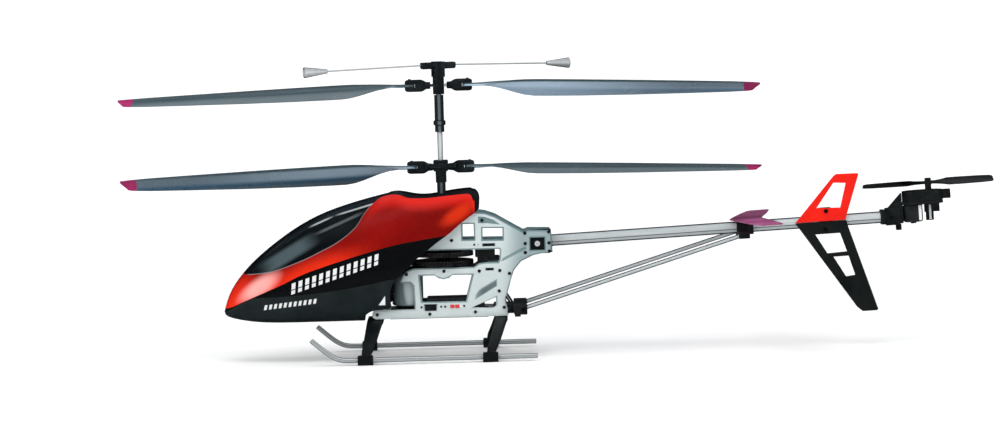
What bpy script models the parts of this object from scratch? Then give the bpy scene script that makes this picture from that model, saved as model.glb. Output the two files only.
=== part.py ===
# Coaxial twin-rotor toy helicopter, built as an assembly of separate pieces.
# Frame: nose towards -X, port side towards -Y, +Z up.
# Origin: on the main-rotor axis, at the underside of the battery tray.
# Values are in millimetres and degrees; the helpers turn them into metres and radians.

import math

import bmesh
import bpy
from mathutils import Vector

SCALE = 0.001              # metres per millimetre

# ---------------------------------------------------------------- driving dimensions
FIT = 0.3                  # clearance round a part that is held
RUNNING_FIT = 0.35         # clearance round a part that turns

ROTOR_R = 288.0            # main rotor radius
UPPER_Z = 207.9            # upper rotor grip axis
LOWER_Z = 134.6            # lower rotor grip axis
UPPER_TEETER = -4.0        # see-saw attitude of the upper blades at rest
LOWER_TEETER = -10.0       # see-saw attitude of the lower blades at rest
INNER_SHAFT_R = 2.4
OUTER_SHAFT_R = 3.9
OUTER_SHAFT_BORE = 2.8     # bore radius

GEAR_MODULE = 0.8
MAIN_TEETH = 66
PINION_TEETH = 12
MOTOR_X = -GEAR_MODULE * (MAIN_TEETH + PINION_TEETH) / 2.0
INNER_GEAR_Z = 48.9        # middle of the gear on the inner shaft
OUTER_GEAR_Z = 56.6        # middle of the gear on the outer shaft
MAIN_GEAR_T = 4.0
MOTOR_R = 12.2

PLATE_Y = 18.0             # inner face of each side plate
PLATE_T = 1.6
PLATE_OUTER_Y = PLATE_Y + PLATE_T
CORE_Y = PLATE_Y - FIT     # half width of everything held between the plates

FLYBAR_YAW = 18.0
FLYBAR_PIN_Z = 223.4
FLYBAR_R = 121.0

SKID_Y = 62.0
SKID_Z = -31.3
SKID_TUBE_R = 2.2

BOOM_X = 97.0
BOOM_Z = 65.83
BOOM_RISE = 2.394          # slope of the boom, rising aft
BOOM_R = 5.3
BOOM_WALL = 0.9
BOOM_START = -20.0         # boom ends, along the boom from BOOM_X
BOOM_END = 306.0

TAIL_AXIS = 341.3          # tail-rotor axis, along the boom
TAIL_MODULE = 0.75
TAIL_TEETH = 28
TAIL_PINION_TEETH = 12
TAIL_MOTOR = TAIL_AXIS - TAIL_MODULE * (TAIL_TEETH + TAIL_PINION_TEETH) / 2.0
TAIL_ROTOR_R = 58.7
TAIL_ROTOR_Z = 28.4        # above the boom axis

# Names and signs of the mirrored places, along Y and along X.
SIDES = (("port", -1), ("starboard", 1))
ENDS = (("fore", -1), ("aft", 1))

# ---------------------------------------------------------------- clean scene
for old in list(bpy.data.objects):
    bpy.data.objects.remove(old, do_unlink=True)

PARTS = bpy.data.collections.new("coaxial_helicopter")
CUTTERS = bpy.data.collections.new("cutters")
bpy.context.scene.collection.children.link(PARTS)
bpy.context.scene.collection.children.link(CUTTERS)


# ---------------------------------------------------------------- materials
def material(name, colour, roughness, metallic=0.0, coat=0.0):
    mat = bpy.data.materials.new(name)
    mat.use_nodes = True
    inputs = mat.node_tree.nodes["Principled BSDF"].inputs
    inputs["Base Color"].default_value = (*colour, 1.0)
    inputs["Roughness"].default_value = roughness
    inputs["Metallic"].default_value = metallic
    inputs["Coat Weight"].default_value = coat
    return mat


PLATE_METAL = material("plate_aluminium", (0.72, 0.78, 0.80), roughness=0.38, metallic=0.9)
STEEL = material("bright_steel", (0.78, 0.79, 0.80), roughness=0.22, metallic=1.0)
ALUMINIUM = material("polished_aluminium", (0.80, 0.82, 0.83), roughness=0.25, metallic=1.0)
BLACK = material("black_plastic", (0.015, 0.017, 0.018), roughness=0.45)
BLADE_BLACK = material("blade_plastic", (0.03, 0.04, 0.042), roughness=0.25)
CANOPY_RED = material("canopy_red", (0.75, 0.03, 0.01), roughness=0.15, coat=1.0)
FIN_RED = material("fin_red", (0.80, 0.06, 0.02), roughness=0.3)
FIN_BLACK = material("fin_black", (0.02, 0.02, 0.02), roughness=0.35)
MAGENTA = material("stabilizer_magenta", (0.55, 0.05, 0.25), roughness=0.35)
MOTOR_CAN = material("motor_can", (0.70, 0.73, 0.75), roughness=0.25, metallic=1.0)
BRASS = material("brass", (0.75, 0.55, 0.25), roughness=0.3, metallic=1.0)
BATTERY_WRAP = material("battery_wrap", (0.02, 0.02, 0.025), roughness=0.4)
BOARD_GREEN = material("circuit_board", (0.02, 0.18, 0.06), roughness=0.5)


# ---------------------------------------------------------------- placing helpers
def add_object(name, mesh, loc=(0, 0, 0), rot=(0, 0, 0), parent=None):
    piece = bpy.data.objects.new(name, mesh)
    piece.location = Vector(loc) * SCALE
    piece.rotation_euler = [math.radians(angle) for angle in rot]
    piece.parent = parent
    PARTS.objects.link(piece)
    return piece


def axis(name, loc=(0, 0, 0), rot=(0, 0, 0), parent=None):
    """Empty that carries the pieces lying on or turning about one axis."""
    empty = add_object(name, None, loc, rot, parent)
    empty.empty_display_size = 5 * SCALE
    return empty


def add_solid(name, mesh, mat, loc=(0, 0, 0), rot=(0, 0, 0), parent=None):
    """Object with smooth faces and sharp corners; cutters have no material."""
    if mat:
        mesh.materials.append(mat)
    mesh.shade_smooth()
    mesh.set_sharp_from_angle(angle=math.radians(32))
    return add_object(name, mesh, loc, rot, parent)


def boolean(piece, other, operation):
    """Apply `other` to `piece` and put it away as a hidden helper."""
    PARTS.objects.unlink(other)
    CUTTERS.objects.link(other)
    other.hide_render = True
    other.display_type = "WIRE"
    modifier = piece.modifiers.new(operation.lower(), "BOOLEAN")
    modifier.operation = operation
    modifier.solver = "EXACT"
    modifier.object = other


def cut(piece, other):
    boolean(piece, other, "DIFFERENCE")


def join(piece, other):
    boolean(piece, other, "UNION")


def span(half, centre=0.0):
    """Range reaching `half` to each side of `centre`."""
    return (centre - half, centre + half)


def mirrored(side, near, far):
    """Range from near to far on the positive or negative side of zero."""
    return sorted((side * near, side * far))


def blend(start, end, share):
    return start + (end - start) * share


def clamp01(value):
    return min(1.0, max(0.0, value))


# ---------------------------------------------------------------- shape helpers
def mesh_from(name, geometry):
    mesh = bpy.data.meshes.new(name)
    geometry.to_mesh(mesh)
    geometry.free()
    return mesh


def box(name, x, y, z, mat=None, parent=None, bevel=0.0):
    """Block between the (low, high) ranges x, y and z."""
    geometry = bmesh.new()
    bmesh.ops.create_cube(geometry, size=1.0)
    size = Vector((x[1] - x[0], y[1] - y[0], z[1] - z[0])) * SCALE
    bmesh.ops.scale(geometry, vec=size, verts=geometry.verts)
    centre = [(low + high) / 2 for low, high in (x, y, z)]
    piece = add_solid(name, mesh_from(name, geometry), mat, centre, parent=parent)
    if bevel:
        modifier = piece.modifiers.new("edge", "BEVEL")
        modifier.width = bevel * SCALE
        modifier.segments = 1
        modifier.limit_method = "ANGLE"
    return piece


def rod(name, start, end, radius, segments=16, mat=None, parent=None):
    start, end = Vector(start), Vector(end)
    along = end - start
    geometry = bmesh.new()
    bmesh.ops.create_cone(geometry, cap_ends=True, segments=segments, radius1=radius * SCALE,
                          radius2=radius * SCALE, depth=along.length * SCALE)
    bmesh.ops.rotate(geometry, verts=geometry.verts, cent=(0, 0, 0),
                     matrix=along.to_track_quat("Z", "Y").to_matrix())
    return add_solid(name, mesh_from(name, geometry), mat, (start + end) / 2, parent=parent)


def add_polyline(curve, points, cyclic):
    spline = curve.splines.new("POLY")
    spline.points.add(len(points) - 1)
    for point, (x, y, z) in zip(spline.points, points):
        point.co = (x * SCALE, y * SCALE, z * SCALE, 1)
    spline.use_cyclic_u = cyclic


def curve_mesh(name, curve):
    """Mesh of a curve, with its seams merged and its normals outward."""
    holder = bpy.data.objects.new(name + "_curve", curve)
    PARTS.objects.link(holder)
    bpy.context.view_layer.update()
    depsgraph = bpy.context.evaluated_depsgraph_get()
    mesh = bpy.data.meshes.new_from_object(holder.evaluated_get(depsgraph))
    bpy.data.objects.remove(holder, do_unlink=True)
    geometry = bmesh.new()
    geometry.from_mesh(mesh)
    bmesh.ops.remove_doubles(geometry, verts=geometry.verts, dist=0.00002)
    bmesh.ops.recalc_face_normals(geometry, faces=geometry.faces)
    geometry.to_mesh(mesh)
    geometry.free()
    mesh.name = name
    return mesh


def sheet(name, outline, thickness, plane, at=0.0, holes=(), mat=None, parent=None):
    """Flat piece cut from an outline in a plane, centred on `at` along its normal."""
    curve = bpy.data.curves.new(name + "_outline", "CURVE")
    curve.dimensions = "2D"
    curve.fill_mode = "BOTH"
    curve.extrude = thickness / 2 * SCALE
    for loop in [outline, *holes]:
        add_polyline(curve, [(across, up, 0) for across, up in loop], cyclic=True)
    loc, rot = {"XZ": ((0, at, 0), (90, 0, 0)),
                "XY": ((0, 0, at), (0, 0, 0)),
                "YZ": ((at, 0, 0), (90, 0, 90))}[plane]
    return add_solid(name, curve_mesh(name, curve), mat, loc, rot, parent)


def bent_rod(name, path, radius, bevel_resolution, mat, loc=(0, 0, 0), parent=None):
    """Round rod along a path of (x, z) points."""
    curve = bpy.data.curves.new(name + "_path", "CURVE")
    curve.dimensions = "3D"
    curve.bevel_depth = radius * SCALE
    curve.bevel_resolution = bevel_resolution
    curve.use_fill_caps = True
    add_polyline(curve, [(x, 0, z) for x, z in path], cyclic=False)
    return add_solid(name, curve_mesh(name, curve), mat, loc, parent=parent)


def loft(name, rings, mat=None, parent=None, loc=(0, 0, 0)):
    """Closed solid through rings of equal point count, capped at both ends."""
    geometry = bmesh.new()
    loops = [[geometry.verts.new(Vector(point) * SCALE) for point in ring] for ring in rings]
    count = len(rings[0])
    for loop, following in zip(loops, loops[1:]):
        for i in range(count):
            j = (i + 1) % count
            geometry.faces.new((loop[i], loop[j], following[j], following[i]))
    geometry.faces.new(list(reversed(loops[0])))
    geometry.faces.new(loops[-1])
    bmesh.ops.triangulate(geometry, faces=[f for f in geometry.faces if len(f.verts) > 4])
    bmesh.ops.recalc_face_normals(geometry, faces=geometry.faces)
    return add_solid(name, mesh_from(name, geometry), mat, loc, parent=parent)


def turned(name, profile, mat, parent=None, loc=(0, 0, 0), rot=(0, 0, 0), steps=20):
    """Turned piece: a closed (radius, height) loop spun about Z.
    The loop runs down the outer side and up the bore, or the reverse."""
    geometry = bmesh.new()
    corners = [geometry.verts.new((radius * SCALE, 0, z * SCALE)) for radius, z in profile]
    for pair in zip(corners, corners[1:] + corners[:1]):
        geometry.edges.new(pair)
    mesh = mesh_from(name, geometry)
    mesh.materials.append(mat)
    piece = add_object(name, mesh, loc, rot, parent)
    modifier = piece.modifiers.new("turn", "SCREW")
    modifier.axis = "Z"
    modifier.angle = math.tau
    modifier.steps = steps
    modifier.render_steps = steps
    modifier.use_merge_vertices = True
    modifier.merge_threshold = 0.00001
    modifier.use_smooth_shade = True
    return piece


def tube_profile(outer, bore, top, bottom):
    return [(outer, top), (outer, bottom), (bore, bottom), (bore, top)]


def circle(radius, count):
    return [(radius * math.cos(math.tau * i / count), radius * math.sin(math.tau * i / count))
            for i in range(count)]


def gear_outline(teeth, module, phase=0.0):
    """Straight-flanked teeth, slim enough to run with backlash."""
    pitch_radius = teeth * module / 2
    tip, root = pitch_radius + 0.72 * module, pitch_radius - 1.05 * module
    step = math.tau / teeth
    slimming = 1.0 if teeth > 20 else 0.9
    outline = []
    for i in range(teeth):
        for radius, share in ((root, -0.30), (tip, -0.10), (tip, 0.10), (root, 0.30)):
            angle = phase + i * step + share * slimming * step
            outline.append((radius * math.cos(angle), radius * math.sin(angle)))
    return outline


def pinion(name, teeth, module, thickness, bore, parent):
    """Motor pinion aft of which an even-toothed gear points a tooth at it,
    so the pinion is turned half a tooth to show a gap at +X."""
    sheet(name, gear_outline(teeth, module, math.pi / teeth), thickness, "XY",
          holes=[circle(bore, 10)], mat=BRASS, parent=parent)


def smooth_table(table, x):
    """Value at x on a smooth curve through (x, value) rows, held constant past the ends."""
    if x <= table[0][0]:
        return table[0][1]
    if x >= table[-1][0]:
        return table[-1][1]
    last = len(table) - 1
    i = next(k for k in range(last) if x <= table[k + 1][0])

    def secant(k):
        return (table[k + 1][1] - table[k][1]) / (table[k + 1][0] - table[k][0])

    def slope(k):
        if k == 0:
            return secant(0)
        if k == last:
            return secant(last - 1)
        before, after = secant(k - 1), secant(k)
        return 0.0 if before * after <= 0 else 2 * before * after / (before + after)

    (start_x, start), (end_x, end) = table[i], table[i + 1]
    width = end_x - start_x
    t = (x - start_x) / width
    start_slope, end_slope = slope(i) * width, slope(i + 1) * width
    return ((2 * t ** 3 - 3 * t ** 2 + 1) * start + (t ** 3 - 2 * t ** 2 + t) * start_slope
            + (-2 * t ** 3 + 3 * t ** 2) * end + (t ** 3 - t ** 2) * end_slope)


# ---------------------------------------------------------------- side plates
# Outline and openings as (x, z).
PLATE_OUTLINE = [
    (-61.5, 0.6), (57.0, 0.6), (57.4, 3.0), (55.0, 13.6), (57.4, 23.5), (60.8, 35.1),
    (63.2, 41.6), (69.7, 49.2), (80.7, 54.3), (88.0, 55.8), (95.5, 55.8), (97.3, 57.6),
    (97.3, 74.6), (95.5, 76.4), (76.0, 77.0), (72.8, 75.2), (61.0, 82.0), (47.0, 90.4),
    (38.0, 93.5), (30.0, 94.6), (0.0, 92.0), (-30.0, 86.0), (-44.0, 80.0), (-46.0, 76.0),
    (-46.0, 60.8), (50.0, 60.8), (51.0, 59.8), (50.6, 52.6), (49.0, 49.0), (38.2, 49.2),
    (31.9, 48.4), (27.3, 45.4), (-26.7, 45.3), (-32.0, 43.4), (-36.4, 39.6), (-38.8, 34.6),
    (-38.8, 32.6), (-30.0, 32.6), (-27.6, 30.0), (-26.6, 8.7), (-61.5, 8.7), (-64.0, 7.4),
    (-65.2, 4.7), (-64.0, 1.8)]
UPPER_FORE_WINDOW = [(17.8, 70.0), (28.2, 69.9), (28.0, 83.8), (17.9, 83.8)]
UPPER_AFT_WINDOW = [(35.7, 69.4), (53.6, 69.2), (53.8, 79.4), (35.8, 79.8)]
MAIN_WINDOW = [
    (-19.6, 15.2), (19.3, 14.8), (25.8, 38.3), (8.0, 38.5), (4.8, 36.2), (0.0, 34.9),
    (-4.8, 36.2), (-8.0, 38.5), (-21.5, 38.6)]
TRIANGLE_WINDOW = [(24.4, 9.0), (43.6, 8.2), (46.2, 10.4), (46.2, 17.6)]
CLAMP_WINDOW = [(78.2, 59.0), (91.0, 59.0), (91.0, 70.0), (78.2, 70.0)]
SWITCH_OPENING = [(-17.6, 6.9), (-7.2, 6.9), (-7.2, 12.3), (-17.6, 12.3)]
WINDOWS = [UPPER_FORE_WINDOW, UPPER_AFT_WINDOW, MAIN_WINDOW, TRIANGLE_WINDOW, CLAMP_WINDOW]

for tag, side in SIDES:
    openings = WINDOWS + [SWITCH_OPENING] if tag == "port" else WINDOWS
    sheet("side_plate_" + tag, PLATE_OUTLINE, PLATE_T, "XZ", side * (PLATE_Y + PLATE_T / 2),
          openings, PLATE_METAL)

# ---------------------------------------------------------------- battery
TRAY_HEIGHT = 6.2
TRAY_FLOOR = 1.4
TRAY_INNER_Y = CORE_Y - 1.2
# Shallow channel between the plates, as (y, z); its underside is the datum.
TRAY_SECTION = [
    (-CORE_Y, 0.0), (CORE_Y, 0.0), (CORE_Y, TRAY_HEIGHT), (TRAY_INNER_Y, TRAY_HEIGHT),
    (TRAY_INNER_Y, TRAY_FLOOR), (-TRAY_INNER_Y, TRAY_FLOOR), (-TRAY_INNER_Y, TRAY_HEIGHT),
    (-CORE_Y, TRAY_HEIGHT)]
sheet("battery_tray", TRAY_SECTION, 88.0, "YZ", -5.0, mat=BLACK)
box("battery_pack", (-16.0, 36.0), span(14.8), (1.8, 17.6), BATTERY_WRAP, bevel=1.2)

# ---------------------------------------------------------------- bearing plates
BEARING_FORE_X = -44.0
MOTOR_HOLE_R = 3.4

# The lower plate carries the inner shaft, the lower motor and the rear gear-bay post.
plate = box("lower_bearing_block", (BEARING_FORE_X, 40.0), span(CORE_Y), (41.3, 44.7), BLACK)
join(plate, rod("lower_boss", (0, 0, 35.6), (0, 0, 43.0), 5.0, 20))
join(plate, box("rear_post", (30.5, 39.6), span(CORE_Y), (43.0, 60.4)))
cut(plate, rod("lower_bore", (0, 0, 30.0), (0, 0, 50.0), INNER_SHAFT_R + RUNNING_FIT, 20))
cut(plate, rod("lower_motor_boss_hole", (MOTOR_X, 0, 38.0), (MOTOR_X, 0, 48.0), MOTOR_HOLE_R))

# The upper plate carries the outer shaft and the upper motor.
plate = box("upper_bearing_block", (BEARING_FORE_X, 16.0), span(CORE_Y), (61.2, 64.6), BLACK)
join(plate, rod("upper_boss", (0, 0, 62.5), (0, 0, 79.0), 6.3, 24))
cut(plate, rod("upper_bore", (0, 0, 55.0), (0, 0, 85.0), OUTER_SHAFT_R + RUNNING_FIT, 24))
cut(plate, rod("upper_motor_boss_hole", (MOTOR_X, 0, 58.0), (MOTOR_X, 0, 68.0), MOTOR_HOLE_R))


# ---------------------------------------------------------------- main motors
def motor(name, far_z, near_z):
    """Can motor with bevelled shoulders. The near end meets its bearing plate;
    a small boss stands out of the far end."""
    length = abs(near_z - far_z)
    boss_radius, boss_height, bore = 3.2, 1.6, 0.6
    profile = [
        (MOTOR_R - 1.4, length), (MOTOR_R, length - 1.2), (MOTOR_R, 1.0), (MOTOR_R - 1.2, 0.0),
        (boss_radius, 0.0), (boss_radius, -boss_height), (bore, -boss_height), (bore, length)]
    flip = 0 if near_z > far_z else 180
    turned(name, profile, MOTOR_CAN, None, (MOTOR_X, 0, far_z), (flip, 0, 0), steps=28)


motor("lower_motor", far_z=10.4, near_z=40.9)
motor("upper_motor", far_z=95.8, near_z=65.0)

for name, gear_z in (("lower_motor_pinion", INNER_GEAR_Z), ("upper_motor_pinion", OUTER_GEAR_Z)):
    pinion(name, PINION_TEETH, GEAR_MODULE, thickness=4.6, bore=1.0,
           parent=axis(name + "_axis", (MOTOR_X, 0, gear_z)))

# ---------------------------------------------------------------- tail boom
# Pieces parented to the boom use its frame: X along the boom, aft from BOOM_X.
boom = axis("boom_axis", (BOOM_X, 0, BOOM_Z), (0, -BOOM_RISE, 0))
BOOM_HOLE_R = BOOM_R + FIT

clamp = box("boom_clamp", (-20.6, 0.6), span(CORE_Y), span(9.4), BLACK, boom)
join(clamp, box("clamp_pads", (-18.2, -6.6), span(PLATE_OUTER_Y), (-5.2, 4.0), parent=boom))
cut(clamp, rod("clamp_bore", (-30, 0, 0), (10, 0, 0), BOOM_HOLE_R, 20, parent=boom))
cut(clamp, box("clamp_split", (-30, 10), span(0.6), (3.0, 12.0), parent=boom))

turned("tail_boom", tube_profile(BOOM_R, BOOM_R - BOOM_WALL, BOOM_END, BOOM_START), ALUMINIUM,
       boom, rot=(0, 90, 0), steps=24)

# ---------------------------------------------------------------- boom brace
# Two parallel struts between a cross bar behind the frame and one under the boom.
STRUT_Y = 28.0
STRUT_R = 1.9
BRACE_Y = 33.0             # half width of both cross bars
ANCHOR_X, ANCHOR_Z = 68.0, 7.0
BRACE_X = 168.5            # brace clamp position along the boom
COLLAR_X = (BRACE_X - 1.5, BRACE_X + 8.5)
COLLAR_TOP = 6.2

anchor = box("strut_anchor", span(6.0, ANCHOR_X), span(BRACE_Y), span(4.6, ANCHOR_Z),
             BLACK, bevel=0.8)
join(anchor, box("anchor_tongue", (44.0, 64.0), span(CORE_Y), (4.2, 10.0)))

brace = box("brace_clamp", COLLAR_X, span(BRACE_Y), (-8.2, -3.0), BLACK, boom, bevel=0.6)
join(brace, box("brace_collar", COLLAR_X, span(7.4), (-7.4, COLLAR_TOP), parent=boom))
join(brace, box("brace_nose", (BRACE_X + 8.0, BRACE_X + 13.5), span(6.6), (-6.6, COLLAR_TOP),
                parent=boom))
cut(brace, rod("brace_bore", (BRACE_X - 20, 0, 0), (BRACE_X + 30, 0, 0), BOOM_HOLE_R, 20,
               parent=boom))

# Upper strut point, given along and below the boom axis, turned into the world frame.
STRUT_TOP_ALONG, STRUT_TOP_BELOW = BRACE_X + 0.6, 5.6
rise_cos, rise_sin = math.cos(math.radians(BOOM_RISE)), math.sin(math.radians(BOOM_RISE))
strut_top_x = BOOM_X + STRUT_TOP_ALONG * rise_cos + STRUT_TOP_BELOW * rise_sin
strut_top_z = BOOM_Z + STRUT_TOP_ALONG * rise_sin - STRUT_TOP_BELOW * rise_cos
strut_direction = Vector((strut_top_x - ANCHOR_X, 0, strut_top_z - ANCHOR_Z)).normalized()


def strut_ends(side, extra=0.0):
    """Ends of one strut, lengthened by `extra` at each end."""
    low = Vector((ANCHOR_X, side * STRUT_Y, ANCHOR_Z)) + strut_direction * (1.0 - extra)
    high = Vector((strut_top_x, side * STRUT_Y, strut_top_z)) + strut_direction * (3.0 + extra)
    return low, high


for tag, side in SIDES:
    rod("boom_strut_" + tag, *strut_ends(side), STRUT_R, 12, ALUMINIUM)
for holder in (anchor, brace):
    for _, side in SIDES:
        cut(holder, rod(holder.name + "_socket", *strut_ends(side, FIT), STRUT_R + FIT, 12))

# ---------------------------------------------------------------- stabilizer and fins
# Starboard half of the swallow-tail sheet, (x, y) with x from its front tip.
STABILIZER_HALF = [
    (-2.0, 0.0), (-1.0, 5.0), (3.0, 24.0), (10.5, 56.0), (18.6, 84.0), (22.4, 89.5),
    (36.5, 90.5), (39.5, 88.5), (36.0, 60.0), (28.6, 16.0), (26.5, 0.0)]
STABILIZER_X = BRACE_X - 5.0
stabilizer_outline = [(STABILIZER_X + x, -y) for x, y in STABILIZER_HALF]
stabilizer_outline += [(STABILIZER_X + x, y) for x, y in reversed(STABILIZER_HALF[1:-1])]
sheet("horizontal_stabilizer", stabilizer_outline, 1.2, "XY", 7.1, mat=MAGENTA, parent=boom)

# Fins on the port side of the boom; outlines and openings as (x, z) in the boom frame.
FIN_T = 1.6
FIN_Y = -(BOOM_R + 1.3)
UPPER_FIN = [(219.8, 0.5), (264.6, 0.5), (279.0, 40.6), (277.6, 41.6), (259.0, 42.0),
             (256.4, 40.4)]
UPPER_FIN_WINDOWS = [[(239.5, 12.6), (260.8, 11.8), (267.0, 33.4), (256.0, 34.4)]]
LOWER_FIN = [(219.8, 0.0), (265.4, 0.0), (266.4, -4.0), (289.2, -81.6), (288.2, -82.8),
             (275.2, -82.8), (270.4, -78.6)]
LOWER_FIN_WINDOWS = [[(237.0, -11.0), (259.2, -11.0), (264.4, -28.0), (246.8, -28.6)],
                     [(252.0, -32.0), (265.6, -32.0), (270.4, -49.6), (262.2, -50.4)]]
sheet("tail_fin_upper", UPPER_FIN, FIN_T, "XZ", FIN_Y, UPPER_FIN_WINDOWS, FIN_RED, boom)
sheet("tail_fin_lower", LOWER_FIN, FIN_T, "XZ", FIN_Y, LOWER_FIN_WINDOWS, FIN_BLACK, boom)

# ---------------------------------------------------------------- tail gearbox
# The case holds the boom end, the motor and the upright rotor shaft.
CASE_R = 12.6
TAIL_SHAFT_R = 1.2
TAIL_GEAR_Z = 15.6
CASE_START = TAIL_MOTOR + 3.4


def stadium(start, end, radius, steps=8):
    """Slot outline with round ends centred at start and end along X."""
    outline = []
    for centre, first_angle in ((end, -math.pi / 2), (start, math.pi / 2)):
        for i in range(steps + 1):
            angle = first_angle + math.pi * i / steps
            outline.append((centre + radius * math.cos(angle), radius * math.sin(angle)))
    return outline


def tail_rod(name, x, low, high, radius, segments=16):
    """Upright helper rod in the boom frame."""
    return rod(name, (x, 0, low), (x, 0, high), radius, segments, parent=boom)


case = sheet("tail_gearbox_case", stadium(CASE_START, TAIL_AXIS, CASE_R), 2.6, "XY", 11.0,
             mat=BLACK, parent=boom)
join(case, tail_rod("shaft_tower", TAIL_AXIS, -5.4, 10.5, 3.6, 20))
join(case, box("boom_socket", (301.4, 313.6), span(7.4), (-7.4, 7.6), parent=boom))
join(case, box("case_gusset", (309.4, 316.9), span(6.0), (-6.4, 12.1), parent=boom))
join(case, sheet("case_web", [(303.4, 7.0), (316.4, 20.4), (316.4, 7.0)], 9.6, "XZ",
                 parent=boom))
join(case, box("case_bridge", (314.0, 322.0), span(5.6), (9.9, 12.0), parent=boom))
join(case, box("tower_web", (TAIL_AXIS - 4.6, TAIL_AXIS + 9.0), span(1.4), (2.0, 10.5),
               parent=boom))
cut(case, rod("socket_bore", (290.0, 0, 0), (310.0, 0, 0), BOOM_HOLE_R, 20, parent=boom))
cut(case, tail_rod("tail_bore", TAIL_AXIS, -10.0, 20.0, TAIL_SHAFT_R + FIT))
cut(case, tail_rod("tail_motor_hole", TAIL_MOTOR, 5.0, 20.0, 2.6))

cover = sheet("tail_gearbox_cover", stadium(CASE_START, TAIL_AXIS, CASE_R), 9.0, "XY", 17.2,
              mat=BLACK, parent=boom)
cut(cover, sheet("cover_hollow", stadium(TAIL_MOTOR + 3.6, TAIL_AXIS, CASE_R - 1.1), 12.0,
                 "XY", 14.2, parent=boom))
join(cover, box("cover_lug", (352.6, 360.5), span(4.2), (13.4, 21.4), parent=boom))
cut(cover, tail_rod("cover_bore", TAIL_AXIS, 10, 30, 2.2))

# (radius, height)
TAIL_MOTOR_PROFILE = [
    (8.0, 9.4), (8.8, 8.6), (8.8, -5.0), (7.6, -6.0), (2.6, -6.0), (2.6, -7.4), (0.5, -7.4),
    (0.5, 9.4)]
turned("tail_motor", TAIL_MOTOR_PROFILE, MOTOR_CAN, boom, (TAIL_MOTOR, 0, 0), steps=24)
pinion("tail_motor_pinion", TAIL_PINION_TEETH, TAIL_MODULE, thickness=3.6, bore=0.8,
       parent=axis("tail_pinion_axis", (TAIL_MOTOR, 0, TAIL_GEAR_Z), parent=boom))

# ---------------------------------------------------------------- tail rotor
tail_axis = axis("tail_rotor_axis", (TAIL_AXIS, 0, 0), parent=boom)

tail_gear = sheet("tail_rotor_gear", gear_outline(TAIL_TEETH, TAIL_MODULE), 3.0, "XY",
                  TAIL_GEAR_Z, mat=BLACK, parent=tail_axis)
join(tail_gear, rod("tail_shaft", (0, 0, -4.8), (0, 0, 30.0), TAIL_SHAFT_R, 12,
                    parent=tail_axis))

# (radius from the axis, half chord, half thickness, pitch in degrees)
TAIL_BLADE_STATIONS = [
    (0.5, 2.2, 1.4, 12.0), (6.0, 2.4, 1.3, 14.0), (12.0, 5.6, 1.0, 20.0),
    (18.0, 7.8, 0.8, 22.0), (30.0, 8.2, 0.7, 21.0), (48.0, 8.2, 0.6, 19.5),
    (56.5, 7.6, 0.5, 19.0), (TAIL_ROTOR_R, 5.6, 0.4, 19.0)]
# (share of the half chord, share of the half thickness)
TAIL_BLADE_SECTION = [(-1, 0), (-0.5, 1), (0.5, 1), (1, 0), (0.5, -1), (-0.5, -1)]


def tail_blade_rings(end):
    rings = []
    for radius, half_chord, half_thickness, pitch in TAIL_BLADE_STATIONS:
        pitch_cos, pitch_sin = math.cos(math.radians(pitch)), math.sin(math.radians(pitch))
        ring = []
        for chord_share, thickness_share in TAIL_BLADE_SECTION:
            y, z = chord_share * half_chord, thickness_share * half_thickness
            ring.append((end * radius, end * (y * pitch_cos - z * pitch_sin),
                         TAIL_ROTOR_Z + y * pitch_sin + z * pitch_cos))
        rings.append(ring)
    return rings


tail_rotor = rod("tail_rotor", (0, 0, 22.4), (0, 0, 32.4), 2.9, 16, BLACK, tail_axis)
for tag, end in ENDS:
    join(tail_rotor, loft("tail_blade_" + tag, tail_blade_rings(end), parent=tail_axis))
cut(tail_rotor, rod("tail_rotor_bore", (0, 0, 15), (0, 0, 30.6), TAIL_SHAFT_R + FIT, 12,
                    parent=tail_axis))

# ---------------------------------------------------------------- landing gear
# Centreline of half an arch, (y, z) from the middle out to the foot.
LEG_HALF = [(0.0, -1.9), (17.0, -1.9), (23.0, -3.2), (41.0, -14.6), (57.0, -23.8),
            (61.2, -26.9)]
LEG_FOOT_Y = LEG_HALF[-1][0]
LEG_BEND_Y = 19.0          # the legs start to rake and taper here
LEG_TOP_T, LEG_FOOT_T = 4.2, 4.4
FOOT_INNER_Y, FOOT_OUTER_Y, FOOT_Z = 58.4, 65.0, -27.0


def leg_arch(name, top_x, foot_x, top_width, foot_width):
    path = [(-y, z) for y, z in reversed(LEG_HALF[1:])] + LEG_HALF
    rings = []
    for i, (y, z) in enumerate(path):
        share = max(0.0, (abs(y) - LEG_BEND_Y) / (LEG_FOOT_Y - LEG_BEND_Y))
        low_x, high_x = span(blend(top_width, foot_width, share) / 2,
                             blend(top_x, foot_x, share))
        if abs(y) == LEG_FOOT_Y:
            # the feet end square on top of the clamps
            side = math.copysign(1, y)
            under, over = (side * FOOT_INNER_Y, FOOT_Z), (side * FOOT_OUTER_Y, FOOT_Z)
        else:
            tangent = (Vector(path[i + 1]) - Vector(path[i - 1])).normalized()
            half_thickness = blend(LEG_TOP_T, LEG_FOOT_T, share) / 2
            lift = Vector((-tangent.y, tangent.x)) * half_thickness
            under, over = (y - lift.x, z - lift.y), (y + lift.x, z + lift.y)
        rings.append([(low_x, *under), (high_x, *under), (high_x, *over), (low_x, *over)])
    loft(name, rings, BLACK)


leg_arch("leg_arch_front", top_x=-62.4, foot_x=-69.6, top_width=14.0, foot_width=8.8)
leg_arch("leg_arch_rear", top_x=51.0, foot_x=41.0, top_width=10.6, foot_width=8.2)

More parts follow.
